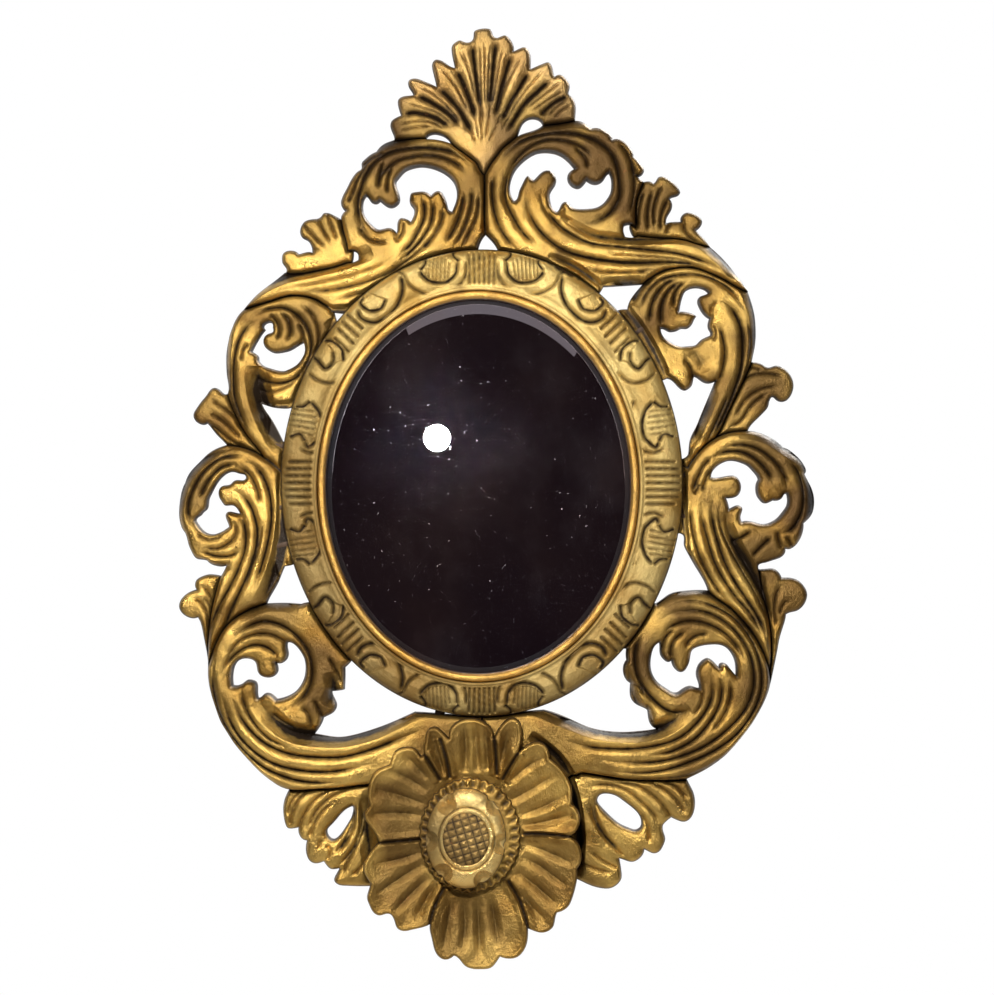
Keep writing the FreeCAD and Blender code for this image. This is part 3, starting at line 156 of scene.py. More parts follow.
UPPER_RIGHT_CUTS = [
    (5.5, 5.5, [(496, 172), (504, 156), (520, 142), (545, 134), (575, 134), (600, 143),
                (615, 160), (620, 190), (616, 205), (605, 217), (588, 224), (572, 222)]),
    (5.0, 4.5, [(508, 178), (513, 165), (527, 149), (547, 140), (570, 142), (588, 152),
                (593, 165)]),
    (4.0, 4.0, [(575, 147), (585, 158), (588, 170)]),
    (4.5, 5.0, [(494, 170), (492, 190), (494, 210), (500, 228), (512, 245), (520, 252)]),
    (4.5, 5.0, [(511, 165), (506, 185), (506, 200), (512, 215), (524, 234), (540, 248)]),
    (4.5, 5.0, [(530, 182), (527, 195), (528, 208), (535, 224), (548, 239), (566, 251),
                (595, 259), (630, 263), (670, 262), (700, 266), (722, 276)]),
    (4.5, 5.0, [(545, 186), (541, 196), (545, 208), (555, 221), (568, 232), (590, 243),
                (620, 247), (650, 250), (680, 254), (710, 264), (732, 279)]),
    (3.5, 3.5, [(560, 250), (585, 257), (620, 262), (650, 261)]),
    (3.5, 3.2, [(585, 268), (605, 272), (635, 272), (655, 270)]),
    (3.0, 2.4, [(600, 253), (640, 256), (680, 260), (700, 268)]),
    (4.0, 4.0, [(618, 141), (627, 152), (632, 164), (635, 177)]),
    (4.0, 4.0, [(630, 160), (634, 175), (634, 195), (630, 215)]),
    (4.0, 4.2, [(645, 188), (641, 200), (638, 215), (637, 230)]),
    (4.0, 4.2, [(654, 187), (650, 200), (648, 215), (649, 233)]),
    (4.0, 4.2, [(664, 182), (658, 195), (654, 210), (655, 230)]),
    (3.5, 4.0, [(670, 196), (664, 208), (661, 220), (662, 232)]),
    (3.5, 3.5, [(672, 222), (668, 228), (667, 234)]),
    (3.5, 3.8, [(685, 218), (685, 228), (691, 237), (700, 243)]),
    (3.0, 3.0, [(565, 205), (563, 214), (572, 222)]),
]
# The first slope follows the oval frame's upper right edge and the second lies under the curl; both
# are finished dark as painted cast shadow.
UPPER_RIGHT_SLOPES = [
    (5.0, 8.0, [(548, 256), (570, 264), (590, 277), (612, 296)]),
    (6.5, 8.0, [(560, 219), (590, 234), (610, 238), (640, 239), (680, 238), (705, 243)]),
    (9.0, 12.0, [(700, 238), (716, 251), (730, 265), (740, 280)]),
    (8.0, 8.0, [(500, 148), (520, 131), (550, 124), (580, 121), (600, 130)]),
    (7.0, 8.0, [(600, 284), (625, 283), (645, 281)]),
]
UPPER_RIGHT_KNOBS = [(7.5, 3.0, 548, 178), (6.0, 2.5, 577, 179), (5.5, 2.0, 597, 178),
                     (8.0, 3.0, 670, 184), (6.0, 2.6, 691, 219), (4.5, 2.0, 529, 180),
                     (4.0, 1.5, 565, 205)]

FLANK_LEFT_CUTS = [
    (4.5, 5.0, [(250, 319), (262, 311), (272, 308), (284, 308), (296, 314), (306, 326),
                (311, 342), (309, 358), (302, 371), (293, 379)]),
    (4.5, 5.0, [(262, 323), (250, 325), (243, 332), (237, 345), (234, 360), (233, 380),
                (235, 400), (242, 420), (250, 435)]),
    (4.0, 4.5, [(268, 313), (275, 320), (279, 331), (276, 341)]),
    (4.0, 4.5, [(280, 311), (288, 320), (290, 332), (286, 343)]),
    (4.0, 4.0, [(298, 322), (303, 334), (301, 348)]),
    (3.5, 3.5, [(300, 303), (312, 315), (318, 330), (318, 346), (312, 362)]),
    (4.5, 5.0, [(250, 372), (262, 380), (280, 383), (295, 378), (305, 368)]),
    (3.5, 3.0, [(255, 388), (270, 392), (284, 388), (296, 380)]),
    (3.0, 3.0, [(228, 372), (229, 390), (234, 408), (242, 425)]),
    (3.5, 4.0, [(249, 343), (243, 350), (240, 362)]),
]
FLANK_LEFT_SLOPES = [
    (13.0, 14.0, [(258, 366), (258, 385), (264, 410), (273, 430), (284, 450)]),
    (7.0, 9.0, [(226, 335), (224, 360), (226, 385)]),
    (10.0, 9.0, [(330, 318), (338, 330), (330, 345)]),
    (7.0, 8.0, [(262, 405), (280, 407), (295, 405)]),
]
FLANK_LEFT_KNOBS = [(6.5, 3.5, 269, 343), (4.5, 2.5, 253, 357), (5.0, 1.5, 262, 328)]

FLANK_RIGHT_CUTS = [
    (4.5, 4.5, [(640, 322), (641, 306), (648, 291), (660, 280), (678, 275), (700, 275),
                (720, 282), (736, 295), (746, 312)]),
    (4.5, 5.0, [(650, 325), (651, 308), (657, 294), (667, 283), (680, 278)]),
    (4.5, 5.0, [(662, 328), (661, 312), (664, 299), (671, 288), (682, 281)]),
    (4.0, 4.5, [(675, 308), (674, 298), (678, 288), (686, 281)]),
    (5.5, 6.0, [(714, 299), (727, 303), (736, 315), (742, 331), (743, 350), (741, 370),
                (735, 390), (727, 410), (717, 430), (707, 446)]),
    (4.0, 4.5, [(718, 322), (723, 338), (725, 354), (722, 372), (716, 386)]),
    (4.0, 4.0, [(730, 392), (721, 413), (711, 434), (705, 447)]),
    (3.0, 3.0, [(748, 318), (751, 340), (749, 362), (743, 382)]),
    (4.0, 4.5, [(684, 358), (691, 368), (694, 379)]),
    (3.0, 2.5, [(718, 300), (712, 308), (710, 318)]),
    (3.0, 3.0, [(712, 322), (716, 332), (714, 342)]),
]
# The first slope follows the oval frame's upper right edge; its dark finish is the frame's painted
# cast shadow.
FLANK_RIGHT_SLOPES = [
    (6.0, 9.0, [(612, 296), (630, 314), (648, 340), (662, 368), (670, 392)]),
    (8.0, 11.0, [(745, 285), (756, 310), (758, 335), (755, 360)]),
    (10.0, 12.0, [(712, 388), (704, 408), (695, 428), (690, 448)]),
    (9.0, 9.0, [(632, 305), (640, 286), (655, 275)]),
    (14.0, 4.5, [(690, 345), (700, 358), (706, 372)]),
]
FLANK_RIGHT_KNOBS = [(6.5, 3.0, 702, 303), (7.0, 2.5, 687, 319), (4.5, 2.0, 713, 322)]

SIDE_LEFT_CUTS = [
    (4.5, 5.0, [(248, 456), (225, 457), (213, 463), (202, 474), (193, 489), (188, 505),
                (189, 518), (195, 530)]),
    (4.5, 5.0, [(238, 464), (222, 467), (210, 478), (203, 490), (199, 503)]),
    (4.5, 5.5, [(240, 459), (254, 466), (264, 479), (270, 498), (271, 520), (267, 545),
                (260, 570), (252, 594)]),
    (4.0, 4.5, [(238, 467), (250, 476), (257, 490), (260, 506)]),
    (4.5, 5.5, [(225, 490), (236, 492), (246, 500), (253, 513), (257, 531), (255, 551),
                (248, 573), (238, 595), (229, 615), (222, 635), (217, 647)]),
    (4.5, 5.0, [(232, 504), (240, 514), (245, 530), (245, 548), (239, 567), (230, 586),
                (219, 606), (211, 624), (206, 642)]),
    (4.0, 4.0, [(233, 520), (236, 531), (230, 542), (216, 549), (202, 547)]),
    (4.0, 3.5, [(196, 533), (208, 539), (222, 536)]),
    (4.0, 4.5, [(200, 551), (215, 556), (230, 556), (240, 550)]),
    (3.0, 2.6, [(262, 520), (258, 548), (250, 572), (243, 592)]),
]
SIDE_LEFT_SLOPES = [
    (10.0, 12.0, [(284, 470), (286, 500), (284, 530), (279, 560), (268, 590), (260, 606)]),
    (7.0, 9.0, [(238, 447), (210, 455), (190, 472), (180, 492), (177, 515), (182, 535)]),
    (6.0, 7.0, [(190, 558), (210, 566), (230, 566)]),
]
SIDE_LEFT_KNOBS = [(6.0, 3.0, 203, 500), (6.0, 3.0, 224, 493), (5.0, 2.0, 195, 512)]

SIDE_RIGHT_CUTS = [
    (4.0, 4.5, [(720, 449), (735, 445), (750, 446), (765, 453), (778, 465), (786, 479),
                (788, 493)]),
    (4.5, 5.0, [(712, 458), (725, 452), (742, 452), (757, 460), (768, 472), (775, 486)]),
    (4.5, 5.0, [(788, 456), (799, 473), (804, 492), (802, 512), (793, 528), (778, 536)]),
    (4.0, 4.5, [(693, 493), (697, 480), (704, 466), (713, 456)]),
    (4.0, 4.0, [(702, 492), (706, 480), (712, 469)]),
    (4.5, 5.5, [(714, 494), (712, 510), (714, 526), (719, 545), (725, 562), (734, 580),
                (746, 598), (757, 615), (765, 632), (769, 650)]),
    (4.5, 5.0, [(702, 500), (703, 520), (708, 540), (714, 560), (723, 578), (736, 597),
                (749, 612), (759, 628), (765, 642)]),
    (4.0, 4.5, [(721, 500), (719, 515), (722, 531), (731, 550), (743, 572), (755, 592),
                (764, 611), (769, 630)]),
    (4.0, 4.5, [(692, 498), (691, 520), (696, 545), (706, 570), (718, 590), (730, 606)]),
    (3.5, 3.5, [(700, 484), (694, 495)]),
    (4.0, 4.5, [(731, 543), (742, 537), (752, 531)]),
    (4.0, 4.5, [(752, 557), (761, 547), (772, 537)]),
    (3.5, 4.0, [(783, 550), (779, 540), (778, 530)]),
    (3.5, 3.5, [(786, 535), (792, 545), (795, 552)]),
    (3.5, 3.5, [(806, 462), (800, 458), (790, 452)]),
]
# The last slope follows the oval frame's right edge; its dark finish is the frame's painted cast
# shadow.
SIDE_RIGHT_SLOPES = [
    (8.0, 12.0, [(727, 512), (728, 528), (736, 546), (748, 566), (760, 587), (770, 608),
                 (775, 632), (774, 655)]),
    (9.0, 11.0, [(740, 430), (765, 434), (786, 446), (805, 462), (813, 490), (812, 520),
                 (802, 545)]),
    (6.0, 8.0, [(684, 450), (682, 490), (684, 530), (690, 550)]),
]
SIDE_RIGHT_KNOBS = [(8.0, 3.5, 763, 491), (6.5, 2.5, 736, 484), (5.0, 2.0, 779, 498),
                    (6.0, 2.0, 740, 511)]

LOWER_LEFT_CUTS = [
    (4.5, 5.0, [(230, 645), (243, 630), (260, 622), (275, 623), (290, 630), (302, 642),
                (310, 657), (312, 675), (308, 690), (298, 703), (283, 712)]),
    (3.5, 4.0, [(226, 662), (237, 643), (252, 635), (268, 634), (283, 640), (293, 650)]),
    (4.5, 5.0, [(223, 672), (230, 660), (241, 650), (255, 645), (268, 648), (277, 656),
                (280, 664)]),
    (4.5, 5.5, [(217, 650), (213, 668), (213, 690), (220, 715), (233, 738), (250, 757),
                (270, 771), (295, 780), (320, 783), (352, 782)]),
    (4.5, 5.5, [(221, 690), (226, 711), (236, 732), (252, 750), (272, 763), (297, 770),
                (325, 772), (350, 769), (372, 763)]),
    (4.5, 5.5, [(230, 688), (235, 706), (246, 725), (263, 742), (286, 753), (312, 757),
                (342, 757), (370, 750), (396, 740), (425, 729)]),
    (4.0, 4.5, [(240, 686), (243, 700), (252, 720), (268, 738), (290, 749)]),
    (4.0, 4.0, [(301, 706), (309, 716), (312, 731)]),
    (4.0, 4.0, [(313, 698), (320, 712), (324, 722)]),
    (3.0, 2.6, [(206, 660), (207, 690), (214, 716)]),
    (3.5, 3.5, [(327, 655), (336, 670), (342, 686)]),
    (3.5, 3.5, [(270, 712), (283, 722), (297, 729)]),
]
LOWER_LEFT_SLOPES = [
    (11.0, 13.0, [(258, 700), (270, 716), (290, 731), (315, 736), (345, 736), (375, 728),
                  (405, 714), (425, 706)]),
    (10.0, 9.0, [(238, 615), (262, 603), (285, 602), (300, 606)]),
    (9.0, 9.0, [(330, 672), (334, 690), (326, 706)]),
    (6.0, 7.0, [(203, 700), (215, 728), (236, 755), (262, 778), (290, 791)]),
]
LOWER_LEFT_KNOBS = [(5.5, 2.6, 266, 702), (5.5, 2.4, 265, 670), (5.5, 2.2, 249, 688),
                    (5.5, 2.2, 281, 658)]

LOWER_RIGHT_CUTS = [
    (4.5, 5.0, [(658, 613), (675, 604), (695, 601), (715, 607), (735, 619), (750, 637),
                (758, 656), (762, 676), (760, 696), (751, 716), (735, 736), (714, 751),
                (690, 762), (665, 770), (640, 773), (612, 771), (588, 765)]),
    (4.5, 5.0, [(654, 627), (668, 615), (685, 611), (705, 612), (725, 622), (740, 637),
                (750, 655), (754, 673), (753, 691), (745, 710), (730, 727), (710, 743),
                (685, 755), (655, 762), (620, 762), (588, 757)]),
    (4.0, 4.5, [(660, 637), (672, 626), (690, 621), (710, 625), (727, 635), (739, 650),
                (744, 664)]),
    (4.0, 4.5, [(661, 652), (665, 638), (674, 629)]),
    (4.0, 4.5, [(671, 661), (671, 648), (676, 638), (686, 631)]),
    (4.0, 4.0, [(686, 650), (689, 641), (698, 635), (710, 634)]),
    (5.0, 5.5, [(645, 628), (637, 645), (635, 660), (638, 677), (646, 691), (656, 702),
                (669, 711), (683, 712), (694, 706)]),
    (4.5, 5.0, [(709, 667), (712, 681), (712, 696), (706, 711), (695, 725), (679, 738),
                (655, 746), (625, 749), (590, 747), (562, 739)]),
    (4.5, 5.0, [(721, 670), (722, 690), (718, 708), (707, 726), (692, 741), (670, 752),
                (645, 756)]),
    (4.0, 4.0, [(731, 680), (730, 700), (722, 718), (710, 733)]),
    (3.5, 3.2, [(570, 770), (600, 777), (640, 779), (680, 777), (705, 769), (735, 750),
                (753, 729), (764, 706)]),
    (4.0, 4.0, [(646, 702), (650, 715), (654, 726)]),
    (3.5, 3.5, [(632, 684), (640, 688), (645, 696)]),
    (3.0, 2.6, [(703, 688), (701, 704), (692, 717)]),
]
# The first slope lies by the rosette's upper right edge; its dark finish is the rosette's painted
# cast shadow.
LOWER_RIGHT_SLOPES = [
    (6.0, 12.0, [(530, 735), (546, 747), (560, 760), (574, 782)]),
    (10.0, 13.0, [(530, 705), (548, 711), (570, 720), (600, 730), (630, 733), (655, 730),
                  (672, 722), (690, 708)]),
    (9.0, 9.0, [(660, 600), (678, 591), (705, 592), (730, 606), (752, 630), (770, 660)]),
    (6.0, 8.0, [(776, 660), (770, 700), (750, 735), (720, 765), (690, 779)]),
    (7.0, 7.0, [(627, 665), (633, 695), (648, 722)]),
]
LOWER_RIGHT_KNOBS = [(6.5, 3.0, 706, 668), (5.5, 2.2, 690, 694), (5.5, 2.4, 681, 668),
                     (5.0, 2.0, 667, 659), (4.5, 2.0, 723, 668)]

SPRIG_CUTS = [
    (4.0, 3.2, [(208, 398), (220, 406), (234, 415), (246, 424)]),
    (4.0, 3.2, [(204, 411), (215, 416), (229, 427), (241, 441)]),
    (4.0, 3.2, [(205, 422), (216, 429), (231, 441), (245, 450)]),
    (3.5, 3.0, [(232, 420), (245, 430), (255, 441), (263, 456)]),
    (4.0, 3.2, [(739, 381), (752, 375), (767, 373), (786, 376)]),
    (4.0, 3.2, [(735, 420), (742, 405), (752, 394), (767, 387), (784, 386)]),
    (4.0, 3.2, [(728, 428), (741, 421), (750, 408), (760, 398), (772, 391)]),
    (3.5, 3.0, [(742, 368), (752, 367), (764, 370)]),
    (4.0, 3.2, [(199, 585), (208, 594), (214, 608), (217, 622)]),
    (4.0, 3.2, [(188, 600), (200, 603), (207, 617), (210, 638)]),
    (3.5, 3.0, [(200, 596), (209, 606), (213, 620), (213, 640)]),
    (4.0, 3.2, [(765, 572), (765, 588), (769, 606), (774, 625)]),
    (4.0, 3.2, [(783, 584), (777, 596), (775, 611), (777, 630)]),
    (3.5, 3.0, [(795, 596), (785, 604), (780, 616)]),
]
SPRIG_KNOBS = [(7.0, 2.5, 205, 412), (8.0, 2.5, 786, 384), (7.0, 2.5, 191, 606),
               (8.0, 2.5, 792, 595), (5.5, 2.0, 205, 583), (5.5, 2.0, 772, 576)]

SHOULDER_CUTS = [
    (3.5, 3.0, [(335, 190), (337, 205), (340, 222), (345, 240)]),
    (3.5, 3.0, [(322, 196), (326, 210), (331, 225), (338, 243)]),
    (3.5, 3.0, [(311, 205), (316, 217), (323, 230), (331, 245)]),
    (3.5, 3.0, [(298, 218), (306, 228), (315, 238), (326, 248)]),
    (3.5, 3.0, [(284, 230), (295, 238), (307, 245), (320, 252)]),
]

SKIRT_CUTS = [
    (4.0, 3.2, [(312, 787), (299, 799), (291, 815), (289, 832)]),
    (4.0, 3.2, [(330, 788), (313, 802), (302, 818), (297, 834)]),
    (4.0, 3.2, [(350, 787), (331, 797), (315, 813), (306, 833)]),
    (4.0, 3.2, [(352, 800), (352, 820), (345, 840), (334, 856)]),
    (3.5, 3.0, [(312, 860), (318, 848), (322, 838)]),
    (3.5, 3.0, [(366, 822), (360, 840), (350, 856), (340, 880)]),
    (3.0, 2.4, [(300, 790), (291, 803), (286, 818)]),
    (4.0, 3.2, [(585, 789), (605, 785), (625, 790), (640, 801), (655, 816), (663, 830)]),
    (4.0, 3.2, [(610, 783), (635, 785), (655, 797), (668, 812), (676, 827)]),
    (3.5, 3.0, [(650, 782), (665, 790), (678, 802), (688, 816)]),
    (3.5, 3.0, [(662, 780), (676, 787), (689, 800)]),
    (4.0, 3.2, [(592, 800), (595, 820), (606, 838), (622, 852)]),
    (3.5, 3.0, [(575, 860), (592, 868), (612, 874)]),
    (3.5, 3.2, [(353, 803), (354, 820), (348, 838), (336, 855)]),
    (3.5, 3.2, [(361, 800), (362, 822), (355, 845), (343, 862), (334, 868)]),
    (3.5, 3.0, [(336, 800), (322, 812), (312, 828), (308, 842)]),
    (3.0, 2.6, [(325, 845), (330, 852), (326, 862)]),
    (3.5, 3.0, [(374, 850), (362, 866), (350, 878)]),
    (3.5, 3.0, [(598, 798), (595, 814), (602, 832), (617, 850), (632, 862)]),
    (3.5, 3.0, [(640, 812), (648, 828), (650, 845)]),
    (3.0, 2.6, [(590, 850), (604, 862), (622, 870)]),
]
SKIRT_KNOBS = [(7.0, 2.0, 313, 852), (5.0, 2.0, 337, 884)]
# The first slope follows the rosette's right edge; its dark finish is the rosette's painted cast
# shadow.
SKIRT_SLOPES = [
    (6.0, 13.0, [(563, 764), (575, 800), (580, 840), (577, 880)]),
    (9.0, 8.0, [(372, 790), (366, 815), (370, 860), (376, 890)]),
]

ROSETTE_PARTS = [
    [(440, 736), (447, 760), (450, 778)],
    [(494, 734), (496, 755), (497, 775)],
    [(424, 752), (432, 765), (441, 780)],
    [(519, 750), (510, 765), (502, 780)],
    [(522, 833), (545, 833), (572, 835)],
    [(507, 878), (520, 900), (529, 929)],
    [(445, 885), (435, 905), (429, 925)],
    [(424, 838), (400, 840), (377, 841)],
]
ROSETTE_FLUTES = [
    [(465, 722), (466, 748), (465, 772)], [(475, 720), (477, 748), (478, 772)],
    [(486, 724), (487, 748), (489, 770)],
    [(430, 728), (437, 748), (445, 775)], [(508, 728), (504, 748), (498, 772)],
    [(505, 785), (528, 765), (547, 755)], [(510, 800), (532, 788), (556, 772)],
    [(520, 815), (545, 805), (567, 792)], [(522, 825), (548, 820), (572, 812)],
    [(524, 842), (548, 851), (572, 862)], [(522, 855), (544, 868), (566, 884)],
    [(517, 870), (536, 885), (558, 904)], [(511, 882), (526, 900), (545, 918)],
    [(452, 897), (448, 922), (443, 948)], [(464, 897), (465, 925), (462, 950)],
    [(477, 897), (479, 927), (480, 955)], [(490, 893), (495, 920), (499, 945)],
    [(428, 790), (408, 777), (388, 768)], [(425, 803), (402, 795), (376, 787)],
    [(424, 815), (400, 812), (372, 812)], [(428, 778), (414, 762), (404, 752)],
    [(423, 850), (400, 858), (374, 862)], [(425, 862), (402, 876), (377, 892)],
    [(430, 875), (412, 892), (392, 912)], [(437, 882), (425, 900), (414, 920)],
]

# One quarter of the oval frame's carving, repeated in mirror image round the oval.
RING_DEEP = [
    [(507, 261), (509, 275), (519, 283), (533, 282), (541, 276), (543, 271)],
    [(543, 271), (538, 263), (541, 255)],
    [(505, 262), (511, 256), (509, 250)],
    [(563, 275), (561, 290), (566, 305), (578, 318), (590, 323), (602, 319), (607, 309)],
    [(578, 299), (583, 309), (594, 311), (603, 304), (600, 297)],
    [(620, 362), (622, 350), (632, 342), (640, 341)],
    [(630, 351), (630, 362), (638, 369), (646, 361), (653, 356)],
    [(653, 402), (645, 412), (642, 425), (645, 438), (655, 447), (658, 441)],
    [(653, 402), (660, 407), (668, 407)],
    [(658, 441), (664, 434), (674, 437)],
]
RING_LINES = [
    [(497, 261), (499, 278), (512, 291), (535, 295), (553, 287), (562, 272)],
    [(560, 275), (572, 268)],
    [(616, 372), (630, 383), (645, 381), (656, 373)],
    [(634, 400), (631, 415), (633, 432), (640, 448), (652, 453), (664, 449)],
    [(600, 330), (618, 314)], [(604, 338), (623, 321)], [(609, 345), (627, 328)],
    [(614, 353), (630, 338)],
    [(484.5, 252), (484.5, 290)], [(490, 252), (489, 290)],
    [(495, 253), (494, 288)],
    [(636, 462), (676, 462)], [(636, 469), (680, 469)], [(636, 476), (681, 476)],
    [(636, 483), (681, 483)],
]
RING_CUPS = [
    [(508, 246), (511, 255), (506, 262), (508, 274), (518, 282), (533, 281), (541, 275),
     (543, 271), (538, 264), (540, 255), (545, 250), (528, 244)],
    [(578, 299), (583, 309), (594, 311), (602, 304), (598, 298), (605, 289), (596, 291),
     (586, 296)],
    [(621, 361), (622, 350), (632, 341), (637, 344), (631, 352), (631, 362), (638, 369)],
    [(653, 402), (645, 412), (642, 425), (645, 438), (655, 447), (658, 441), (664, 434),
     (674, 436), (684, 440), (684, 410), (674, 407), (660, 407)],
]
BOSS_NOTCHES = [
    [(489, 892), (484, 877)], [(508, 790), (496, 803)], [(440, 788), (447, 802)],
    [(417, 838), (429, 838)], [(431, 881), (443, 870)], [(513, 842), (501, 841)],
]
RING_HATCH = [
    [(514, 262), (516, 279)], [(518, 258), (519, 281)], [(522, 256), (523, 282)],
    [(526, 256), (527, 282)], [(530, 257), (531, 281)], [(534, 258), (535, 280)],
    [(538, 266), (538, 278)],
    [(648, 412), (672, 409)], [(646, 418), (674, 414)], [(646, 424), (675, 420)],
    [(647, 430), (676, 425)], [(649, 436), (662, 433)],
]


# Patches are (x px, y px, reach px, amount): darker patches, partly gilding gone brown and
# partly painted shade such as on the top-left petals, a dark crust on the oval frame's upper
# right shoulder, and lighter patches, partly gold worn bright and partly painted highlight.
BROWNED_AND_SHADED = [
    (420, 150, 50, 0.9), (540, 140, 64, 1.0), (600, 175, 54, 1.0), (380, 200, 34, 0.7),
    (420, 768, 40, 0.6), (400, 895, 44, 0.5), (540, 880, 44, 0.4), (380, 140, 60, 1.0),
    (330, 176, 50, 0.8), (478, 190, 34, 0.7), (520, 128, 46, 0.8), (640, 205, 44, 0.9),
    (563, 256, 12, 1.0), (468, 930, 60, 0.7), (410, 830, 60, 0.8), (290, 350, 34, 0.5),
    (362, 165, 26, 0.8), (356, 215, 26, 0.6), (318, 222, 34, 0.5),
    (465, 205, 24, 0.5), (600, 150, 34, 1.0), (622, 195, 34, 1.0),
    (665, 205, 36, 0.9), (700, 235, 26, 0.7), (500, 165, 24, 0.6), (590, 215, 22, 0.7),
    (300, 315, 34, 0.8), (255, 315, 28, 0.6), (325, 335, 26, 0.8), (240, 400, 40, 0.5),
    (645, 310, 38, 0.9), (690, 290, 34, 0.7), (750, 330, 34, 0.8), (725, 400, 44, 0.7),
    (765, 385, 40, 0.9), (210, 415, 34, 0.7), (700, 350, 24, 0.4), (190, 490, 34, 0.8),
    (215, 455, 26, 0.6), (770, 455, 44, 0.9), (808, 510, 44, 1.0), (760, 560, 44, 0.9),
    (790, 600, 34, 0.8), (700, 470, 24, 0.4), (270, 610, 44, 0.8), (315, 665, 36, 0.9),
    (320, 700, 26, 0.9), (215, 700, 30, 0.4), (690, 600, 50, 0.9), (650, 660, 38, 1.0),
    (690, 690, 34, 0.7), (765, 690, 44, 0.9), (700, 765, 44, 0.7), (300, 840, 20, 0.3),
    (300, 780, 30, 0.5), (660, 800, 30, 0.4), (405, 790, 48, 0.8), (400, 880, 44, 0.7),
    (445, 735, 34, 0.6), (500, 735, 30, 0.6), (560, 870, 44, 0.6), (440, 930, 34, 0.6),
    (540, 900, 30, 0.5), (560, 730, 40, 0.5),
]
CRUST = [(552, 261, 7, 0.8), (561, 265, 9, 1.0), (571, 271, 8, 1.0), (580, 277, 5, 0.8)]
RUBBED_AND_HIGHLIGHTS = [
    (280, 275, 44, 0.8), (350, 270, 44, 0.8), (410, 240, 30, 0.6), (520, 225, 34, 0.7),
    (600, 260, 44, 0.7), (690, 262, 34, 0.6), (240, 345, 26, 0.7), (255, 500, 34, 0.8),
    (235, 570, 38, 0.8), (225, 540, 26, 0.5), (690, 530, 34, 0.9), (725, 590, 38, 0.8),
    (735, 310, 26, 0.6), (260, 745, 44, 0.8), (330, 770, 50, 0.9), (385, 750, 34, 0.7),
    (300, 815, 40, 0.9), (345, 850, 44, 0.9), (640, 760, 44, 0.5), (640, 820, 44, 0.6),
    (610, 860, 30, 0.7), (480, 70, 44, 0.4), (525, 100, 34, 0.7), (430, 120, 34, 0.5),
    (470, 135, 26, 0.5), (640, 300, 20, 0.4), (672, 360, 24, 0.7), (480, 955, 26, 0.6),
    (545, 800, 34, 0.4), (655, 630, 26, 0.4), (290, 390, 24, 0.5), (210, 400, 20, 0.4),
]


# ---------------------------------------------------------------- shaping
def px(points):
    """Points of the photograph as x and z in mm."""
    p = np.asarray(points, float)
    return np.stack([(p[:, 0] - PX_X) * MM_PER_PX, (PX_Z - p[:, 1]) * MM_PER_PX], 1)


def smooth_line(points):
    """A Catmull-Rom curve through a few points."""
    p = np.vstack([2 * points[0] - points[1], points, 2 * points[-1] - points[-2]])
    t = np.linspace(0, 1, CURVE_STEPS, endpoint=False)[:, None]
    runs = []
    for a, b, c, d in zip(p[:-3], p[1:-2], p[2:-1], p[3:]):
        runs.append(0.5 * (2 * b + (c - a) * t + (2 * a - 5 * b + 4 * c - d) * t ** 2
                           + (3 * b - a - 3 * c + d) * t ** 3))
    return np.vstack(runs + [points[-1][None]])


def between(where, low, high):
    """Which places lie inside a box."""
    return np.all((where > low) & (where < high), axis=1)


def distance_along(where, line):
    """Each place's distance to a line, and how far along the line its nearest point is."""
    a, b = line[:-1], line[1:]
    run = b - a
    length = np.maximum(np.hypot(run[:, 0], run[:, 1]), 1e-9)
    start = np.concatenate([[0], np.cumsum(length)[:-1]])
    total = length.sum()
    best = np.full(len(where), 1e9)
    along = np.zeros(len(where))
    for k in range(len(a)):
        rel = where - a[k]
        t = np.clip((rel @ run[k]) / length[k] ** 2, 0, 1)
        d = np.hypot(rel[:, 0] - t * run[k, 0], rel[:, 1] - t * run[k, 1])
        near = d < best
        best[near] = d[near]
        along[near] = (start[k] + t[near] * length[k]) / total
    return best, along


def stroke(where, points, half_width, power, taper):
    """1 along a stroke's middle line, falling to 0 at its sides and ends."""
    line = smooth_line(px(points))
    reach = half_width * MM_PER_PX
    low, high = line.min(0) - reach, line.max(0) + reach
    near = between(where, low, high)
    value = np.zeros(len(where))
    if not near.any():
        return value
    d, t = distance_along(where[near], line)
    fade = np.ones_like(t)
    if taper:
        fade = np.clip(np.minimum(t, 1 - t) / taper, 0, 1) ** TAPER_BEND
    value[near] = fade * np.clip(1 - d / reach, 0, 1) ** power
    return value


def deepest(where, lines, depth, half_width, power, taper):
    """The deepest of many strokes at each place."""
    deep = np.zeros(len(where))
    for points in lines:
        deep = np.maximum(deep, depth * stroke(where, points, half_width, power, taper))
    return deep


def valley(where, points, half_width):
    """A sharp valley between two round reeds: 1 along its line, 0 at the reeds' tops."""
    u = stroke(where, points, half_width, 1.0, STROKE_TAPER)
    return (1 - np.sqrt(1 - (VALLEY_BEND * u) ** 2)) / VALLEY_FULL


def valleys(where, cuts):
    """Many valleys run together so that the reeds between them stay round."""
    left = np.ones(len(where))
    for half_width, depth, points in cuts:
        left *= 1 - valley(where, points, half_width * VALLEY_WIDER) * depth / VALLEY_MOST
    return VALLEY_MOST * (1 - left)


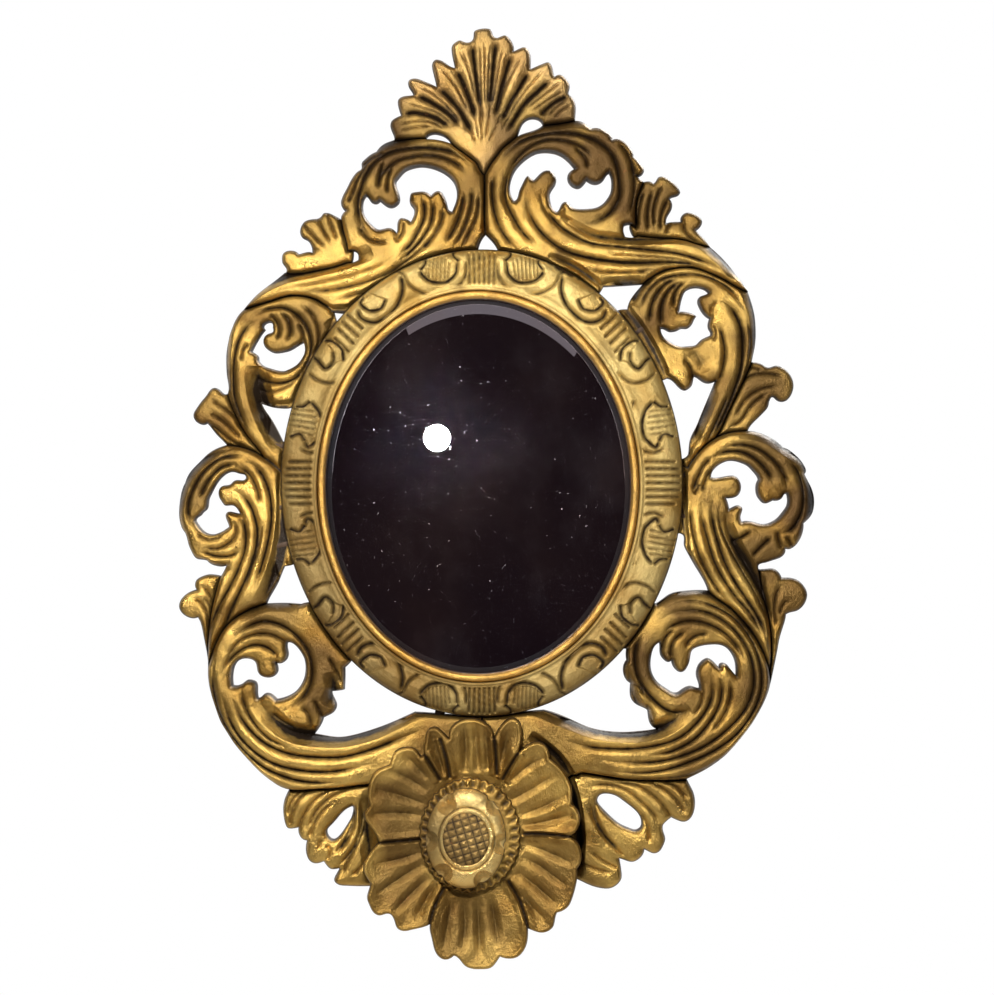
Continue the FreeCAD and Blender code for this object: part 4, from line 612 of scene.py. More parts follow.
def carved(where, cuts, slopes=(), knobs=()):
    """How deep the carving goes at each place, in mm, and its grooves and slopes alone."""
    groove = valleys(where, cuts)
    slope = np.zeros(len(where))
    for half_width, depth, points in slopes:
        slope = np.maximum(slope, depth * stroke(where, points, half_width, 1.0, SLOPE_TAPER))
    rise = np.zeros(len(where))
    for radius, height, kx, kz in knobs:
        middle = px([(kx, kz)])[0]
        d = np.hypot(*(where - middle).T) / (radius * MM_PER_PX)
        rise = np.maximum(rise, height * np.sqrt(np.clip(1 - d ** 2, 0, 1)))
    groove = groove * np.clip(1 - rise / KNOB_CLEARS, KNOB_LEAVES, 1)
    return groove + slope - rise * (groove + slope > KNOB_FROM) * KNOB_SHARE, groove, slope


def patches(where, places):
    """How far each place lies within soft round patches, 0 to 1."""
    amount = np.zeros(len(where))
    for x, y, reach, most in places:
        d = np.hypot(*(where - px([(x, y)])[0]).T) / (reach * MM_PER_PX)
        amount = np.maximum(amount, most * np.clip(PATCH_HEART * (1 - d ** 2), 0, 1))
    return amount


def hand_work(where):
    """The slow unevenness of a hand-cut surface, in mm."""
    x, z = where[:, 0], where[:, 1]
    across = np.sin(x / HAND_ACROSS + 1.3 * np.sin(z / BEND_ACROSS))
    return HAND_DEEP * (across * np.sin(z / HAND_UP + 0.9 * np.sin(x / BEND_UP)))


def recess(where, outline, depth, wall):
    """A sunk flat field inside an outline, with a sloping wall."""
    low, high = outline.min(0), outline.max(0)
    near = between(where, low, high)
    value = np.zeros(len(where))
    if near.any():
        within = inside(where[near], [outline])
        rim = rim_distance(where[near], [outline], wall)
        value[near] = within * depth * np.clip(rim / wall, 0, 1)
    return value


def flat_face_loops(node, y):
    """The closed outlines of a node's flat face at depth y, as x and z in mm."""
    mesh = node.data
    co = np.zeros(len(mesh.vertices) * 3)
    mesh.vertices.foreach_get("co", co)
    co = co.reshape(-1, 3) / MM
    mesh.calc_loop_triangles()
    tri = np.zeros(len(mesh.loop_triangles) * 3, int)
    mesh.loop_triangles.foreach_get("vertices", tri)
    tri = tri.reshape(-1, 3)
    keys, index = np.unique(np.round(co, 3), axis=0, return_inverse=True)
    tri = index.reshape(-1)[tri]
    flat = np.abs(keys[:, 1] - y) < FLAT_NEAR
    tri = tri[flat[tri].all(1)]
    edges = np.vstack([tri[:, [0, 1]], tri[:, [1, 2]], tri[:, [2, 0]]])
    seen = dict.fromkeys((a, b) for a, b in edges)
    follow = {a: b for a, b in seen if (b, a) not in seen}
    loops = []
    while follow:
        start, here = follow.popitem()
        loop = [start, here]
        while here in follow:
            here = follow.pop(here)
            loop.append(here)
        loops.append(keys[loop[:-1]][:, [0, 2]])
    return loops


def largest(loops):
    """The loop with the largest box: an outer outline, without its holes."""
    return max(loops, key=lambda loop: np.ptp(loop[:, 0]) * np.ptp(loop[:, 1]))


def spaced(loop, gap):
    """A closed outline with its points no further apart than the gap."""
    points = []
    for a, b in zip(loop, np.roll(loop, -1, axis=0)):
        count = max(1, int(math.ceil(np.hypot(*(b - a)) / gap)))
        for k in range(count):
            points.append(a + (b - a) * k / count)
    return np.array(points)


def inside(where, loops):
    """Which places lie inside the outlines and outside their holes."""
    odd = np.zeros(len(where), bool)
    for loop in loops:
        for a, b in zip(loop, np.roll(loop, -1, axis=0)):
            if a[1] == b[1]:
                continue
            spans = (a[1] > where[:, 1]) != (b[1] > where[:, 1])
            cross = a[0] + (where[:, 1] - a[1]) * (b[0] - a[0]) / (b[1] - a[1])
            odd ^= spans & (where[:, 0] < cross)
    return odd


def rim_distance(where, loops, most):
    """Each place's distance to the nearest outline, up to a most."""
    best = np.full(len(where), most)
    for loop in loops:
        a, b = loop, np.roll(loop, -1, axis=0)
        for k in range(len(a)):
            low = np.minimum(a[k], b[k]) - best.max()
            high = np.maximum(a[k], b[k]) + best.max()
            near = between(where, low, high)
            rel = where[near] - a[k]
            run = b[k] - a[k]
            t = np.clip((rel @ run) / max(run @ run, 1e-9), 0, 1)
            d = np.hypot(rel[:, 0] - t * run[0], rel[:, 1] - t * run[1])
            best[near] = np.minimum(best[near], d)
    return best


ROW_SHARE = 0.866           # the height of an even-sided triangle
RIM_CLEAR = 0.55            # grid points nearer an outline than this share of the gap go
RIM_NEAR = 3.0              # mm from an outline within which that is looked at


def staggered_grid(loops, gap):
    """Points inside the outlines in rows, every other row set half a gap over."""
    every = np.vstack(loops)
    low, high = every.min(0), every.max(0)
    rows = np.arange(low[1], high[1], gap * ROW_SHARE)
    points = []
    for k, z in enumerate(rows):
        xs = np.arange(low[0] + (k % 2) * gap / 2, high[0], gap)
        points.append(np.stack([xs, np.full(len(xs), z)], 1))
    points = np.vstack(points)
    return points[inside(points, loops)]


def flat_mesh(loops, gap, lines=()):
    """Points and triangles that fill the outlines, with edges along the outlines and lines."""
    edge_loops = [spaced(loop, gap) for loop in loops]
    ruled = [spaced(line, gap) for line in lines]
    grid = staggered_grid(edge_loops, gap)
    rim = rim_distance(grid, list(loops) + list(lines), RIM_NEAR)
    grid = grid[rim > gap * RIM_CLEAR]
    points = np.vstack(edge_loops + ruled + [grid])
    edges = []
    start = 0
    for loop in edge_loops + ruled:
        count = len(loop)
        edges += [(start + k, start + (k + 1) % count) for k in range(count)]
        start += count
    made = delaunay_2d_cdt([Vector(p) for p in points], edges, [], 0, 1e-6)
    corners = np.array([tuple(v) for v in made[0]])
    faces = np.array([f for f in made[2] if len(f) == 3])
    middle = corners[faces].mean(1)
    faces = faces[inside(middle, edge_loops)]
    used, faces = np.unique(faces, return_inverse=True)
    corners, faces = corners[used], faces.reshape(-1, 3)
    a, b, c = corners[faces[:, 0]], corners[faces[:, 1]], corners[faces[:, 2]]
    turn = (b[:, 0] - a[:, 0]) * (c[:, 1] - a[:, 1]) - (b[:, 1] - a[:, 1]) * (c[:, 0] - a[:, 0])
    faces[turn < 0] = faces[turn < 0][:, ::-1]
    return corners, faces


def closed_mesh(name, corners, faces, front, back, marks):
    """A solid between a front and a back depth, with marks for its front and its back."""
    count = len(corners)
    low = np.stack([corners[:, 0], -back, corners[:, 1]], 1)
    high = np.stack([corners[:, 0], -front, corners[:, 1]], 1)
    marks = dict(marks, browned_and_shade=(patches(corners, BROWNED_AND_SHADED), np.zeros(count)),
                 rubbed_and_highlight=(patches(corners, RUBBED_AND_HIGHLIGHTS), np.zeros(count)))
    edges = np.vstack([faces[:, [0, 1]], faces[:, [1, 2]], faces[:, [2, 0]]])
    key = edges[:, 0].astype(np.int64) * count + edges[:, 1]
    other = edges[:, 1].astype(np.int64) * count + edges[:, 0]
    rim = edges[~np.isin(key, other)]
    wall_a = np.stack([rim[:, 1], rim[:, 0], rim[:, 0] + count], 1)
    wall_b = np.stack([rim[:, 1], rim[:, 0] + count, rim[:, 1] + count], 1)
    every = np.vstack([faces, faces[:, ::-1] + count, wall_a, wall_b])
    marks = {key: np.concatenate(pair) for key, pair in marks.items()}
    return solid_object(name, np.vstack([high, low]) * MM, every, marks, SHARP_CARVING)


def solid_object(name, verts, faces, marks, sharp):
    """An object from points and triangles, with its marks as point attributes."""
    mesh = bpy.data.meshes.new(name)
    mesh.vertices.add(len(verts))
    mesh.vertices.foreach_set("co", verts.ravel())
    mesh.loops.add(len(faces) * 3)
    mesh.loops.foreach_set("vertex_index", faces.ravel().astype(np.int32))
    mesh.polygons.add(len(faces))
    mesh.polygons.foreach_set("loop_start", np.arange(len(faces), dtype=np.int32) * 3)
    mesh.polygons.foreach_set("use_smooth", np.ones(len(faces), bool))
    mesh.update(calc_edges=True)
    for key, values in marks.items():
        attribute = mesh.attributes.new(key, "FLOAT", "POINT")
        attribute.data.foreach_set("value", values.astype(np.float32))
    mesh.set_sharp_from_angle(angle=math.radians(sharp))
    piece = bpy.data.objects.new(name, mesh)
    bpy.context.scene.collection.objects.link(piece)
    return piece


def rounded(rim, reach, left):
    """A quarter-round from the outline inwards."""
    s = 1 - np.clip(rim / reach, 0, 1)
    return left + (1 - left) * np.sqrt(np.clip(1 - s ** 2, 0, 1))


FULL_GROOVE, FULL_SLOPE = 5.0, 9.0      # mm at which a groove's grime and painted shade and a slope's painted shade are full
FLANK_SHADE_WIDE = 2.2                        # mm of a board's edge that carry painted shade


def marks_of(groove, slope, rim):
    """Marks for the finish, front and back: grime and painted shade in grooves, painted shade on
    flanks and slopes, a bare back.
    """
    zeros = np.zeros(len(groove))
    flank = np.maximum(slope / FULL_SLOPE, 1 - rim / FLANK_SHADE_WIDE)
    return {
        "hollow_shade_and_grime": (np.clip(groove / FULL_GROOVE, 0, 1), zeros),
        "flank_and_slope_shade": (np.clip(flank, 0, 1), zeros + 1),
        "back": (zeros, zeros + 1),
    }


def pocket_lines(node):
    """The rim and the floor's edge of the hanger's pocket in a board's back."""
    floor = np.vstack(flat_face_loops(nodes[node], -POCKET_DEPTH))
    low, high = floor.min(0), floor.max(0)
    seam = 0 if node == "upper_scroll_right" else 1
    (low if seam == 0 else high)[0] += (2 * seam - 1) * SEAM_PAST
    lines = []
    for inset in (0.0, POCKET_WALL):
        a, b = low + inset, high - inset
        lines.append(np.array([[a[0], a[1]], [b[0], a[1]], [b[0], b[1]], [a[0], b[1]]]))
    return lines


def carve_board(node, cuts, slopes, knobs):
    """A carved board in place of a node, with the node's own outline."""
    depth = -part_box(node)[0].y / MM
    loops = flat_face_loops(nodes[node], -depth)
    if node == "bottom_block":
        loops = [largest(loops)]
    lines = pocket_lines(node) if node.startswith("upper_scroll") else []
    corners, faces = flat_mesh(loops, GRID, lines)
    rim = rim_distance(corners, loops, RIM_SEEN)
    carve, groove, slope = carved(corners, cuts, slopes, knobs)
    shell = depth * ((1 - DOME_SHARE) * rounded(rim, RIM_ROUND, RIM_LEFT)
                     + DOME_SHARE * rounded(rim, DOME_ROUND, 0.0))
    from_frame = np.hypot(corners[:, 0] / FRAME_HALF[0], corners[:, 1] / FRAME_HALF[1])
    cover = np.interp(from_frame, DOWEL_REACH, [DOWEL_COVER, LEAST_WOOD * depth])
    worked = shell - carve + hand_work(corners) - HAND_DEEP
    front = np.maximum(worked, np.minimum(cover, depth * MOST_COVER))
    front = np.minimum(front, depth)
    back = np.zeros(len(corners))
    if lines:
        low, high = lines[1].min(0) - 0.01, lines[1].max(0) + 0.01
        back[between(corners, low, high)] = POCKET_DEPTH
        front = np.maximum(front, back + POCKET_WOOD)
    marks = marks_of(groove, slope, rim)
    return closed_mesh(node + "_carving", corners, faces, front, back, marks)


# ---------------------------------------------------------------- the oval frame and its slip
SIGHT_HALF = np.array([121.6, 149.3])
FRAME_HALF = np.array([160.8, 186.8])
SIGHT_MIDDLE = np.array([-3.0, -2.7])
SLIP_OUT = 7.4              # sight edge to the carved frame's inner edge
REBATE_OUT = 10.0
STEP_OUT = 28.0
STEP_DEPTH = 7.0
FLANGE_FRONT = 21.0
RING_SIDE = 24.0            # depth at which the frame's outside starts to round over
GLASS_OUT = 9.4
GLASS_BACK, GLASS_FRONT, GLASS_EDGE_T = 13.0, 17.0, 1.6
BEVEL_W, BEVEL_HEAD_EXTRA = 13.5, 7.0
ROUND_STEPS = 1440
SLIP_STEPS = 720

# The frame's section: bead, hollow, carved field and round outer edge, as mm from the
# slip outwards and mm in front of the wall.
RING_AT = [0.0, 0.8, 1.8, 3.0, 4.6, 6.2, 8.5, 12.0, 17.0, 23.0, 26.5, 28.6, 30.2, 31.3, 31.9]
RING_UP = [31.0, 32.4, 32.6, 31.5, 31.6, 32.2, 33.8, 35.3, 36.0, 35.1, 33.6, 31.7, 29.2,
           26.8, 24.2]
RING_W = RING_AT[-1]
RING_FIELD = (8, 27)        # the carved field, where the rings of points lie closest
# The frame's tools are (strokes, depth mm, half width px, sharpness, taper).
RING_TOOLS = [(RING_DEEP, 4.0, 4.2, 1.5, 0.06), (RING_LINES, 2.8, 3.0, 1.4, 0.06),
              (RING_HATCH, 3.0, 2.0, 1.2, 0.08)]
CUP_DEPTH, CUP_WALL = 2.6, 1.4
CUP_SHARE = 0.4             # how much of the shallower cut is added where two cross
RING_STEPS = (12, 26, 8)    # rings of points before, across and past the carved field
CRUST_RISE, CRUST_DIRT = 2.0, 1.6
# Painted shade on the frame by height, foot to head, and how much more at its left side.
RING_SHADE_AT, RING_SHADE = [-1.0, -0.5, 0.2, 0.7, 1.0], [0.68, 0.62, 0.50, 0.25, 0.0]
RING_SHADE_LEFT = 0.25

# The slip's section from the glass round to its back: mm from the sight edge outwards,
# mm in front of the wall, grime with painted shade, and painted flank shade.
SLIP_SECTION = [
    (0.0, 17.0, 1.0, 0.6), (0.0, 27.6, 1.0, 0.6), (0.3, 28.9, 1.0, 0.6), (0.8, 30.2, 0.0, 0.0),
    (1.5, 31.4, 0.0, 0.0), (2.5, 32.2, 0.0, 0.0), (3.6, 32.5, 0.0, 0.0), (4.7, 32.4, 0.0, 0.0),
    (5.7, 32.0, 0.0, 0.0), (6.4, 31.2, 0.0, 0.0), (6.8, 30.2, 0.0, 0.0), (6.8, 21.0, 0.0, 0.6),
    (9.4, 21.0, 0.0, 0.6), (9.4, 17.0, 1.0, 0.6),
]
SLIP_WALL_FACES = 2 * SLIP_STEPS    # the wall next to the glass comes first in the mesh


def turns(steps):
    """Points of a circle of radius 1."""
    a = np.linspace(0, 2 * math.pi, steps, endpoint=False)
    return np.stack([np.cos(a), np.sin(a)], 1)


def sight_line(out, steps=ROUND_STEPS):
    """The sight's oval, let out by some mm."""
    return SIGHT_MIDDLE + turns(steps) * (SIGHT_HALF + out)


def lofted(name, rings, marks):
    """A closed tube through rings of points, each ring an outline with a depth for each point."""
    count = len(rings[0][0])
    verts = np.vstack([np.stack([line[:, 0], -depth, line[:, 1]], 1) for line, depth in rings])
    k = np.arange(count)
    faces = []
    for r in range(len(rings)):
        a = r * count + k
        b = r * count + (k + 1) % count
        c = ((r + 1) % len(rings)) * count + (k + 1) % count
        d = ((r + 1) % len(rings)) * count + k
        faces.append(np.stack([a, c, b], 1))
        faces.append(np.stack([a, d, c], 1))
    return solid_object(name, verts * MM, np.vstack(faces), marks, SHARP_ROUND)


def ring_carving(line):
    """The depth of the frame's ornament along an oval, and of its cups alone."""
    place = np.abs(line)
    deep = np.max([deepest(place, *tool) for tool in RING_TOOLS], axis=0)
    cup = np.zeros(len(place))
    for outline in RING_CUPS:
        cup = np.maximum(cup, recess(place, px(outline), CUP_DEPTH, CUP_WALL))
    return np.maximum(deep, cup) + CUP_SHARE * np.minimum(deep, cup), cup


def crust_on(line):
    """The rough dark crust on the frame's shoulder."""
    rough = 0.7 + 0.3 * np.sin(line[:, 0] * 2.9) * np.sin(line[:, 1] * 2.3)
    return patches(line, CRUST) * rough


def build_ring():
    """The oval frame: carved front, plain sides, and the stepped back with its rebate."""
    inner, outer = sight_line(SLIP_OUT), turns(ROUND_STEPS) * FRAME_HALF
    rings, dirt_and_shade, flank_and_slope_shade, bare = [], [], [], []
    (low, high), (before, across, past) = RING_FIELD, RING_STEPS
    for s in np.concatenate([np.linspace(0, low, before, endpoint=False),
                             np.linspace(low, high, across, endpoint=False),
                             np.linspace(high, RING_W, past)]):
        line = inner + (outer - inner) * (s / RING_W)
        deep, cup = ring_carving(line)
        fade = np.clip((s - 4.0) / 2.0, 0, 1) * np.clip((RING_W - s) / 1.5, 0, 1)
        deep = deep * fade
        crust = crust_on(line)
        height = np.interp(s, RING_AT, RING_UP) - deep + hand_work(line) * fade * 0.8 - 0.3 * fade
        rings.append((line, height + CRUST_RISE * crust))
        # Carved hollows darken as grime and painted shade; the crust is real grime.
        dirt_and_shade.append(np.clip((deep - 0.8 * cup * fade) / 4.2 + CRUST_DIRT * crust, 0, 1.4))
        # The outer round-over carries painted flank shade, as do the plain sides and back below.
        flank_and_slope_shade.append(np.full(ROUND_STEPS, np.clip((s - 29.5) / 2.4, 0, 1)))
        bare.append(np.zeros(ROUND_STEPS))
    plain = [(outer, RING_SIDE, 0.0), (outer, 0.0, 0.0), (sight_line(STEP_OUT), 0.0, 1.0),
             (sight_line(STEP_OUT), STEP_DEPTH, 1.0), (sight_line(REBATE_OUT), STEP_DEPTH, 1.0),
             (sight_line(REBATE_OUT), FLANGE_FRONT, 1.0), (sight_line(SLIP_OUT), FLANGE_FRONT, 1.0)]
    for line, depth, wood in plain:
        rings.append((line, np.full(ROUND_STEPS, depth)))
        dirt_and_shade.append(np.zeros(ROUND_STEPS))
        flank_and_slope_shade.append(np.ones(ROUND_STEPS))
        bare.append(np.full(ROUND_STEPS, wood))
    where = np.concatenate([line for line, _ in rings]) / FRAME_HALF
    # The frame darkens towards its foot and its left side: painted shade.
    brown = np.interp(where[:, 1], RING_SHADE_AT, RING_SHADE)
    brown = brown + np.interp(where[:, 0], [-1.0, 0.0], [RING_SHADE_LEFT, 0.0])
    marks = {"hollow_shade_and_grime": np.concatenate(dirt_and_shade), "flank_and_slope_shade": np.concatenate(flank_and_slope_shade),
             "back": np.concatenate(bare), "browned_and_shade": np.clip(brown, 0, 1)}
    return lofted("oval_frame_carving", rings, marks)


def build_slip():
    """The plain moulding between the frame and the glass."""
    rings, dirt_and_shade, flank_and_slope_shade = [], [], []
    for out, depth, dark, flank in SLIP_SECTION:
        rings.append((sight_line(out, SLIP_STEPS), np.full(SLIP_STEPS, depth)))
        dirt_and_shade.append(np.full(SLIP_STEPS, dark))
        flank_and_slope_shade.append(np.full(SLIP_STEPS, flank))
    marks = {"hollow_shade_and_grime": np.concatenate(dirt_and_shade), "flank_and_slope_shade": np.concatenate(flank_and_slope_shade),
             "back": np.zeros(SLIP_STEPS * len(SLIP_SECTION))}
    return lofted("sight_slip_gilt", rings, marks)


def build_glass():
    """The plate with its ground bevel: back, edge, bevel and flat face, with crisp edges."""
    steps = SLIP_STEPS
    rim_half = SIGHT_HALF + GLASS_OUT
    extra = np.array([0.0, BEVEL_HEAD_EXTRA / 2])
    flat_half, flat_middle = rim_half - BEVEL_W - extra, SIGHT_MIDDLE - extra
    rings = [(SIGHT_MIDDLE + turns(steps) * rim_half, GLASS_BACK),
             (SIGHT_MIDDLE + turns(steps) * rim_half, GLASS_BACK + GLASS_EDGE_T),
             (flat_middle + turns(steps) * flat_half, GLASS_FRONT)]
    verts = [np.stack([line[:, 0], np.full(steps, -depth), line[:, 1]], 1) for line, depth in rings]
    verts.append(np.array([[flat_middle[0], -GLASS_FRONT, flat_middle[1]],
                           [SIGHT_MIDDLE[0], -GLASS_BACK, SIGHT_MIDDLE[1]]]))
    k = np.arange(steps)
    n = (k + 1) % steps
    faces = []
    for r in range(2):
        faces.append(np.stack([r * steps + k, r * steps + n, (r + 1) * steps + n], 1))
        faces.append(np.stack([r * steps + k, (r + 1) * steps + n, (r + 1) * steps + k], 1))
    faces.append(np.stack([2 * steps + k, 2 * steps + n, np.full(steps, 3 * steps)], 1))
    faces.append(np.stack([n, k, np.full(steps, 3 * steps + 1)], 1))
    verts = np.vstack(verts) * MM
    return solid_object("mirror_plate", verts, np.vstack(faces), {}, SHARP_GLASS)


# ---------------------------------------------------------------- the rosette
# A bead is (height mm, its middle and half width from an edge) and, if it isn't
# straight-sided, a power that swells its sides.
PETAL_BACK, PETAL_FLOOR, PETAL_RIM = 27.0, 31.0, 42.0
PETAL_LEAST = 28.6          # the deepest cut leaves the wood this far from the wall
PETAL_BEND = 1.7            # above 1, the dish turns up late
PETAL_BEAD, PETAL_ROUND = (1.2, 1.8, 2.2), (1.8, 0.5)
PETAL_GRID = 0.82
# Tools for the rosette: depth mm, half width px, sharpness and taper.
PART_TOOL, PART_LIP_TOOL = (5.2, 3.2, 1.0, 0.05), (3.0, 9.0, 1.0, 0.05)
BITE_TOOL = (11.0, 10.0, 0.7, 0.0)
FLUTE_DEPTH, FLUTE_SHARE, FLUTE_TOOL = 4.2, 0.8, (6.8, 1.3, 0.3)
COLLAR_HALF = 34.0
COLLAR_TEETH = 34
COLLAR_GROOVE, COLLAR_FLAT = 2.2, 8     # the teeth's depth, and how far in they end
COLLAR_ROUND = (3.0, 0.4)
BOSS_ROUND = (13.0, 0.34)
BOSS_DISH, BOSS_DISH_OUT = 1.5, 1.55
BOSS_LIP, BOSS_SEAM = (1.3, 1.04, 0.08, 0.7), (1.4, 1.17, 0.06)
SEED_HALF = (19.0, 21.5)
SEED_PITCH, SEED_PITCH_UP = 6.3, 0.86
SEED_TURN = 0.30            # the checks' slant, radians
SEED_CUT, SEED_RIDGE = 1.7, 1.1         # the checks' depth, and the ridge in their joints
SEED_LEAST = 0.6
SEED_ROUND = (13.0, 0.45)
LAYER_GRID, SEED_GRID = 0.6, 0.35
FLOWER, SEED = px([(468, 836), (467, 836)])


def bead(out, height, middle, half, power=1):
    """A raised line beside an edge."""
    return height * np.clip(1 - np.abs(out - middle) / half, 0, 1) ** power


def build_petals():
    """The dished petals: cupped outwards, parted, fluted and with a thin raised edge."""
    loops = [largest(flat_face_loops(nodes["rosette_petals"], -PETAL_BACK))]
    corners, faces = flat_mesh(loops, PETAL_GRID)
    rim = rim_distance(corners, loops, 60.0)
    out = np.clip(np.hypot(*(corners - FLOWER).T) - COLLAR_HALF, 0, None)
    along = out / np.maximum(out + rim, 1e-6)
    shell = PETAL_FLOOR + (PETAL_RIM - PETAL_FLOOR) * along ** PETAL_BEND
    lip = deepest(corners, ROSETTE_PARTS, *PART_LIP_TOOL)
    part = deepest(corners, ROSETTE_PARTS, *PART_TOOL)
    flute = np.zeros(len(corners))
    for points in ROSETTE_FLUTES:
        flute = 1 - (1 - flute) * (1 - FLUTE_SHARE * stroke(corners, points, *FLUTE_TOOL))
    shell = shell + lip + bead(rim, *PETAL_BEAD) - part - FLUTE_DEPTH * flute
    shell = np.clip(shell, PETAL_LEAST, PETAL_RIM - HAND_DEEP)
    wood = shell + hand_work(corners) - PETAL_BACK
    shell = PETAL_BACK + wood * rounded(rim, *PETAL_ROUND)
    marks = marks_of(np.maximum(part, 2.6 * flute), rim * 0, rim * 2.2)
    back = np.full(len(corners), PETAL_BACK)
    return closed_mesh("rosette_petals_carving", corners, faces, shell, back, marks)


def layer(node, gap, most):
    """A rosette layer's points, triangles, distances to its outline, back and front depth."""
    low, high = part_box(node)
    loops = [largest(flat_face_loops(nodes[node], high.y / MM))]
    corners, faces = flat_mesh(loops, gap)
    return corners, faces, rim_distance(corners, loops, most), -high.y / MM, -low.y / MM


def layer_mesh(node, corners, faces, front, base, marks):
    back = np.full(len(corners), base)
    return closed_mesh(node + "_carving", corners, faces, front, back, marks)


def build_collar():
    """A round-edged ring cut into teeth."""
    corners, faces, rim, base, top = layer("rosette_collar", LAYER_GRID, 20.0)
    turn = np.arctan2(*(corners - FLOWER).T[::-1])
    tooth = 0.5 + 0.5 * np.cos(turn * COLLAR_TEETH)
    groove = COLLAR_GROOVE * tooth * np.clip((rim - 0.6) / 1.5, 0, 1)
    groove = groove * np.clip((COLLAR_FLAT - rim) / 3, 0, 1)
    front = base + (top - base) * rounded(rim, *COLLAR_ROUND) - groove
    marks = marks_of(groove * 1.6, rim * 0, rim * 2)
    return layer_mesh("rosette_collar", corners, faces, front, base, marks)


def build_boss():
    """A round cushion with bites in its edge and a lipped dish for the seed."""
    corners, faces, rim, base, top = layer("rosette_boss", LAYER_GRID, 40.0)
    out = np.hypot(*((corners - SEED) / SEED_HALF).T)
    dish = BOSS_DISH * np.clip(BOSS_DISH_OUT - out, 0, 1) ** 1.2
    seam = bead(out, *BOSS_SEAM)
    notch = deepest(corners, BOSS_NOTCHES, *BITE_TOOL)
    wood = (top - base) * rounded(rim, *BOSS_ROUND) - dish + bead(out, *BOSS_LIP)
    front = base + np.maximum(wood - seam - notch, 1.0)
    front = np.minimum(front, top)
    marks = marks_of(notch * 0.16 + seam * 2.4, rim * 0, rim * 2)
    return layer_mesh("rosette_boss", corners, faces, front, base, marks)


def build_seed():
    """A domed oval cut into round-topped checks."""
    corners, faces, rim, base, top = layer("rosette_seed", SEED_GRID, 40.0)
    rel = corners - SEED
    sin, cos = math.sin(SEED_TURN), math.cos(SEED_TURN)
    one = (rel[:, 0] * cos + rel[:, 1] * sin) / SEED_PITCH
    two = (-rel[:, 0] * sin + rel[:, 1] * cos) / (SEED_PITCH * SEED_PITCH_UP)
    cell = np.minimum(np.abs(one - np.round(one - 0.5) - 0.5) * 2,
                      np.abs(two - np.round(two - 0.5) - 0.5) * 2)
    line = np.minimum(np.abs(one - np.round(one)), np.abs(two - np.round(two)))
    pad = np.sqrt(np.clip(line * 2.0, 0, 1))
    fine = np.exp(-(line / 0.07) ** 2) * 0.5
    front = base + (top - base) * rounded(rim, *SEED_ROUND) - SEED_CUT * (1 - pad)
    front = np.clip(front + fine * SEED_RIDGE - 0.05 * cell, base + SEED_LEAST, top)
    marks = marks_of(4.6 * (1 - pad), rim * 0, rim * 3)
    return layer_mesh("rosette_seed", corners, faces, front, base, marks)


# ---------------------------------------------------------------- finishes
def colour(*screen):
    """A screen colour as linear light."""
    def linear(c):
        c = c / 255.0
        return c / 12.92 if c <= 0.04045 else ((c + 0.055) / 1.055) ** 2.4
    return (*(linear(c) for c in screen), 1.0)


class Finish:
    """A small helper that adds and joins a material's nodes."""

    def __init__(self, name):
        self.material = bpy.data.materials.new(name)
        self.material.use_nodes = True
        self.tree = self.material.node_tree
        self.shader = self.tree.nodes["Principled BSDF"]

    def add(self, kind, **settings):
        node = self.tree.nodes.new(kind)
        for key, value in settings.items():
            setattr(node, key, value)
        return node

    def join(self, start, end):
        self.tree.links.new(start, end)

    def place(self):
        return self.add("ShaderNodeTexCoord").outputs["Object"]

    def stretched(self, *scale):
        node = self.add("ShaderNodeMapping")
        node.inputs["Scale"].default_value = scale
        self.join(self.place(), node.inputs["Vector"])
        return node.outputs["Vector"]

    def noise(self, scale, detail=4.0, rough=0.55, where=None):
        node = self.add("ShaderNodeTexNoise")
        for key, value in (("Scale", scale), ("Detail", detail), ("Roughness", rough)):
            node.inputs[key].default_value = value
        self.join(where or self.place(), node.inputs["Vector"])
        return node.outputs["Fac"]

    def mark(self, name):
        return self.add("ShaderNodeAttribute", attribute_name=name).outputs["Fac"]

    def spread(self, value, low, high, to_low=0.0, to_high=1.0):
        """The value, spread from one range to another and held inside it."""
        node = self.add("ShaderNodeMapRange")
        ends = (("From Min", low), ("From Max", high), ("To Min", to_low), ("To Max", to_high))
        for key, end in ends:
            node.inputs[key].default_value = end
        self.join(value, node.inputs["Value"])
        return node.outputs["Result"]

    def put(self, socket, value):
        if isinstance(value, (float, tuple)):
            socket.default_value = value
        else:
            self.join(value, socket)

    def maths(self, how, a, b):
        node = self.add("ShaderNodeMath", operation=how)
        self.put(node.inputs[0], a)
        self.put(node.inputs[1], b)
        return node.outputs[0]

    def add_up(self, a, b):
        return self.maths("ADD", a, b)

    def times(self, a, b):
        return self.maths("MULTIPLY", a, b)

    def most(self, a, b):
        return self.maths("MAXIMUM", a, b)

    def blend(self, amount, a, b):
        node = self.add("ShaderNodeMix", data_type="RGBA")
        for key, value in (("A", a), ("B", b)):
            self.put([i for i in node.inputs if i.name == key and i.type == "RGBA"][0], value)
        self.join(amount, node.inputs[0])
        return [o for o in node.outputs if o.type == "RGBA"][0]

    def bump(self, height, strength, distance=0.0004):
        node = self.add("ShaderNodeBump")
        node.inputs["Strength"].default_value = strength
        node.inputs["Distance"].default_value = distance
        self.join(height, node.inputs["Height"])
        self.join(node.outputs["Normal"], self.shader.inputs["Normal"])

    def give(self, key, value):
        self.put(self.shader.inputs[key], value)


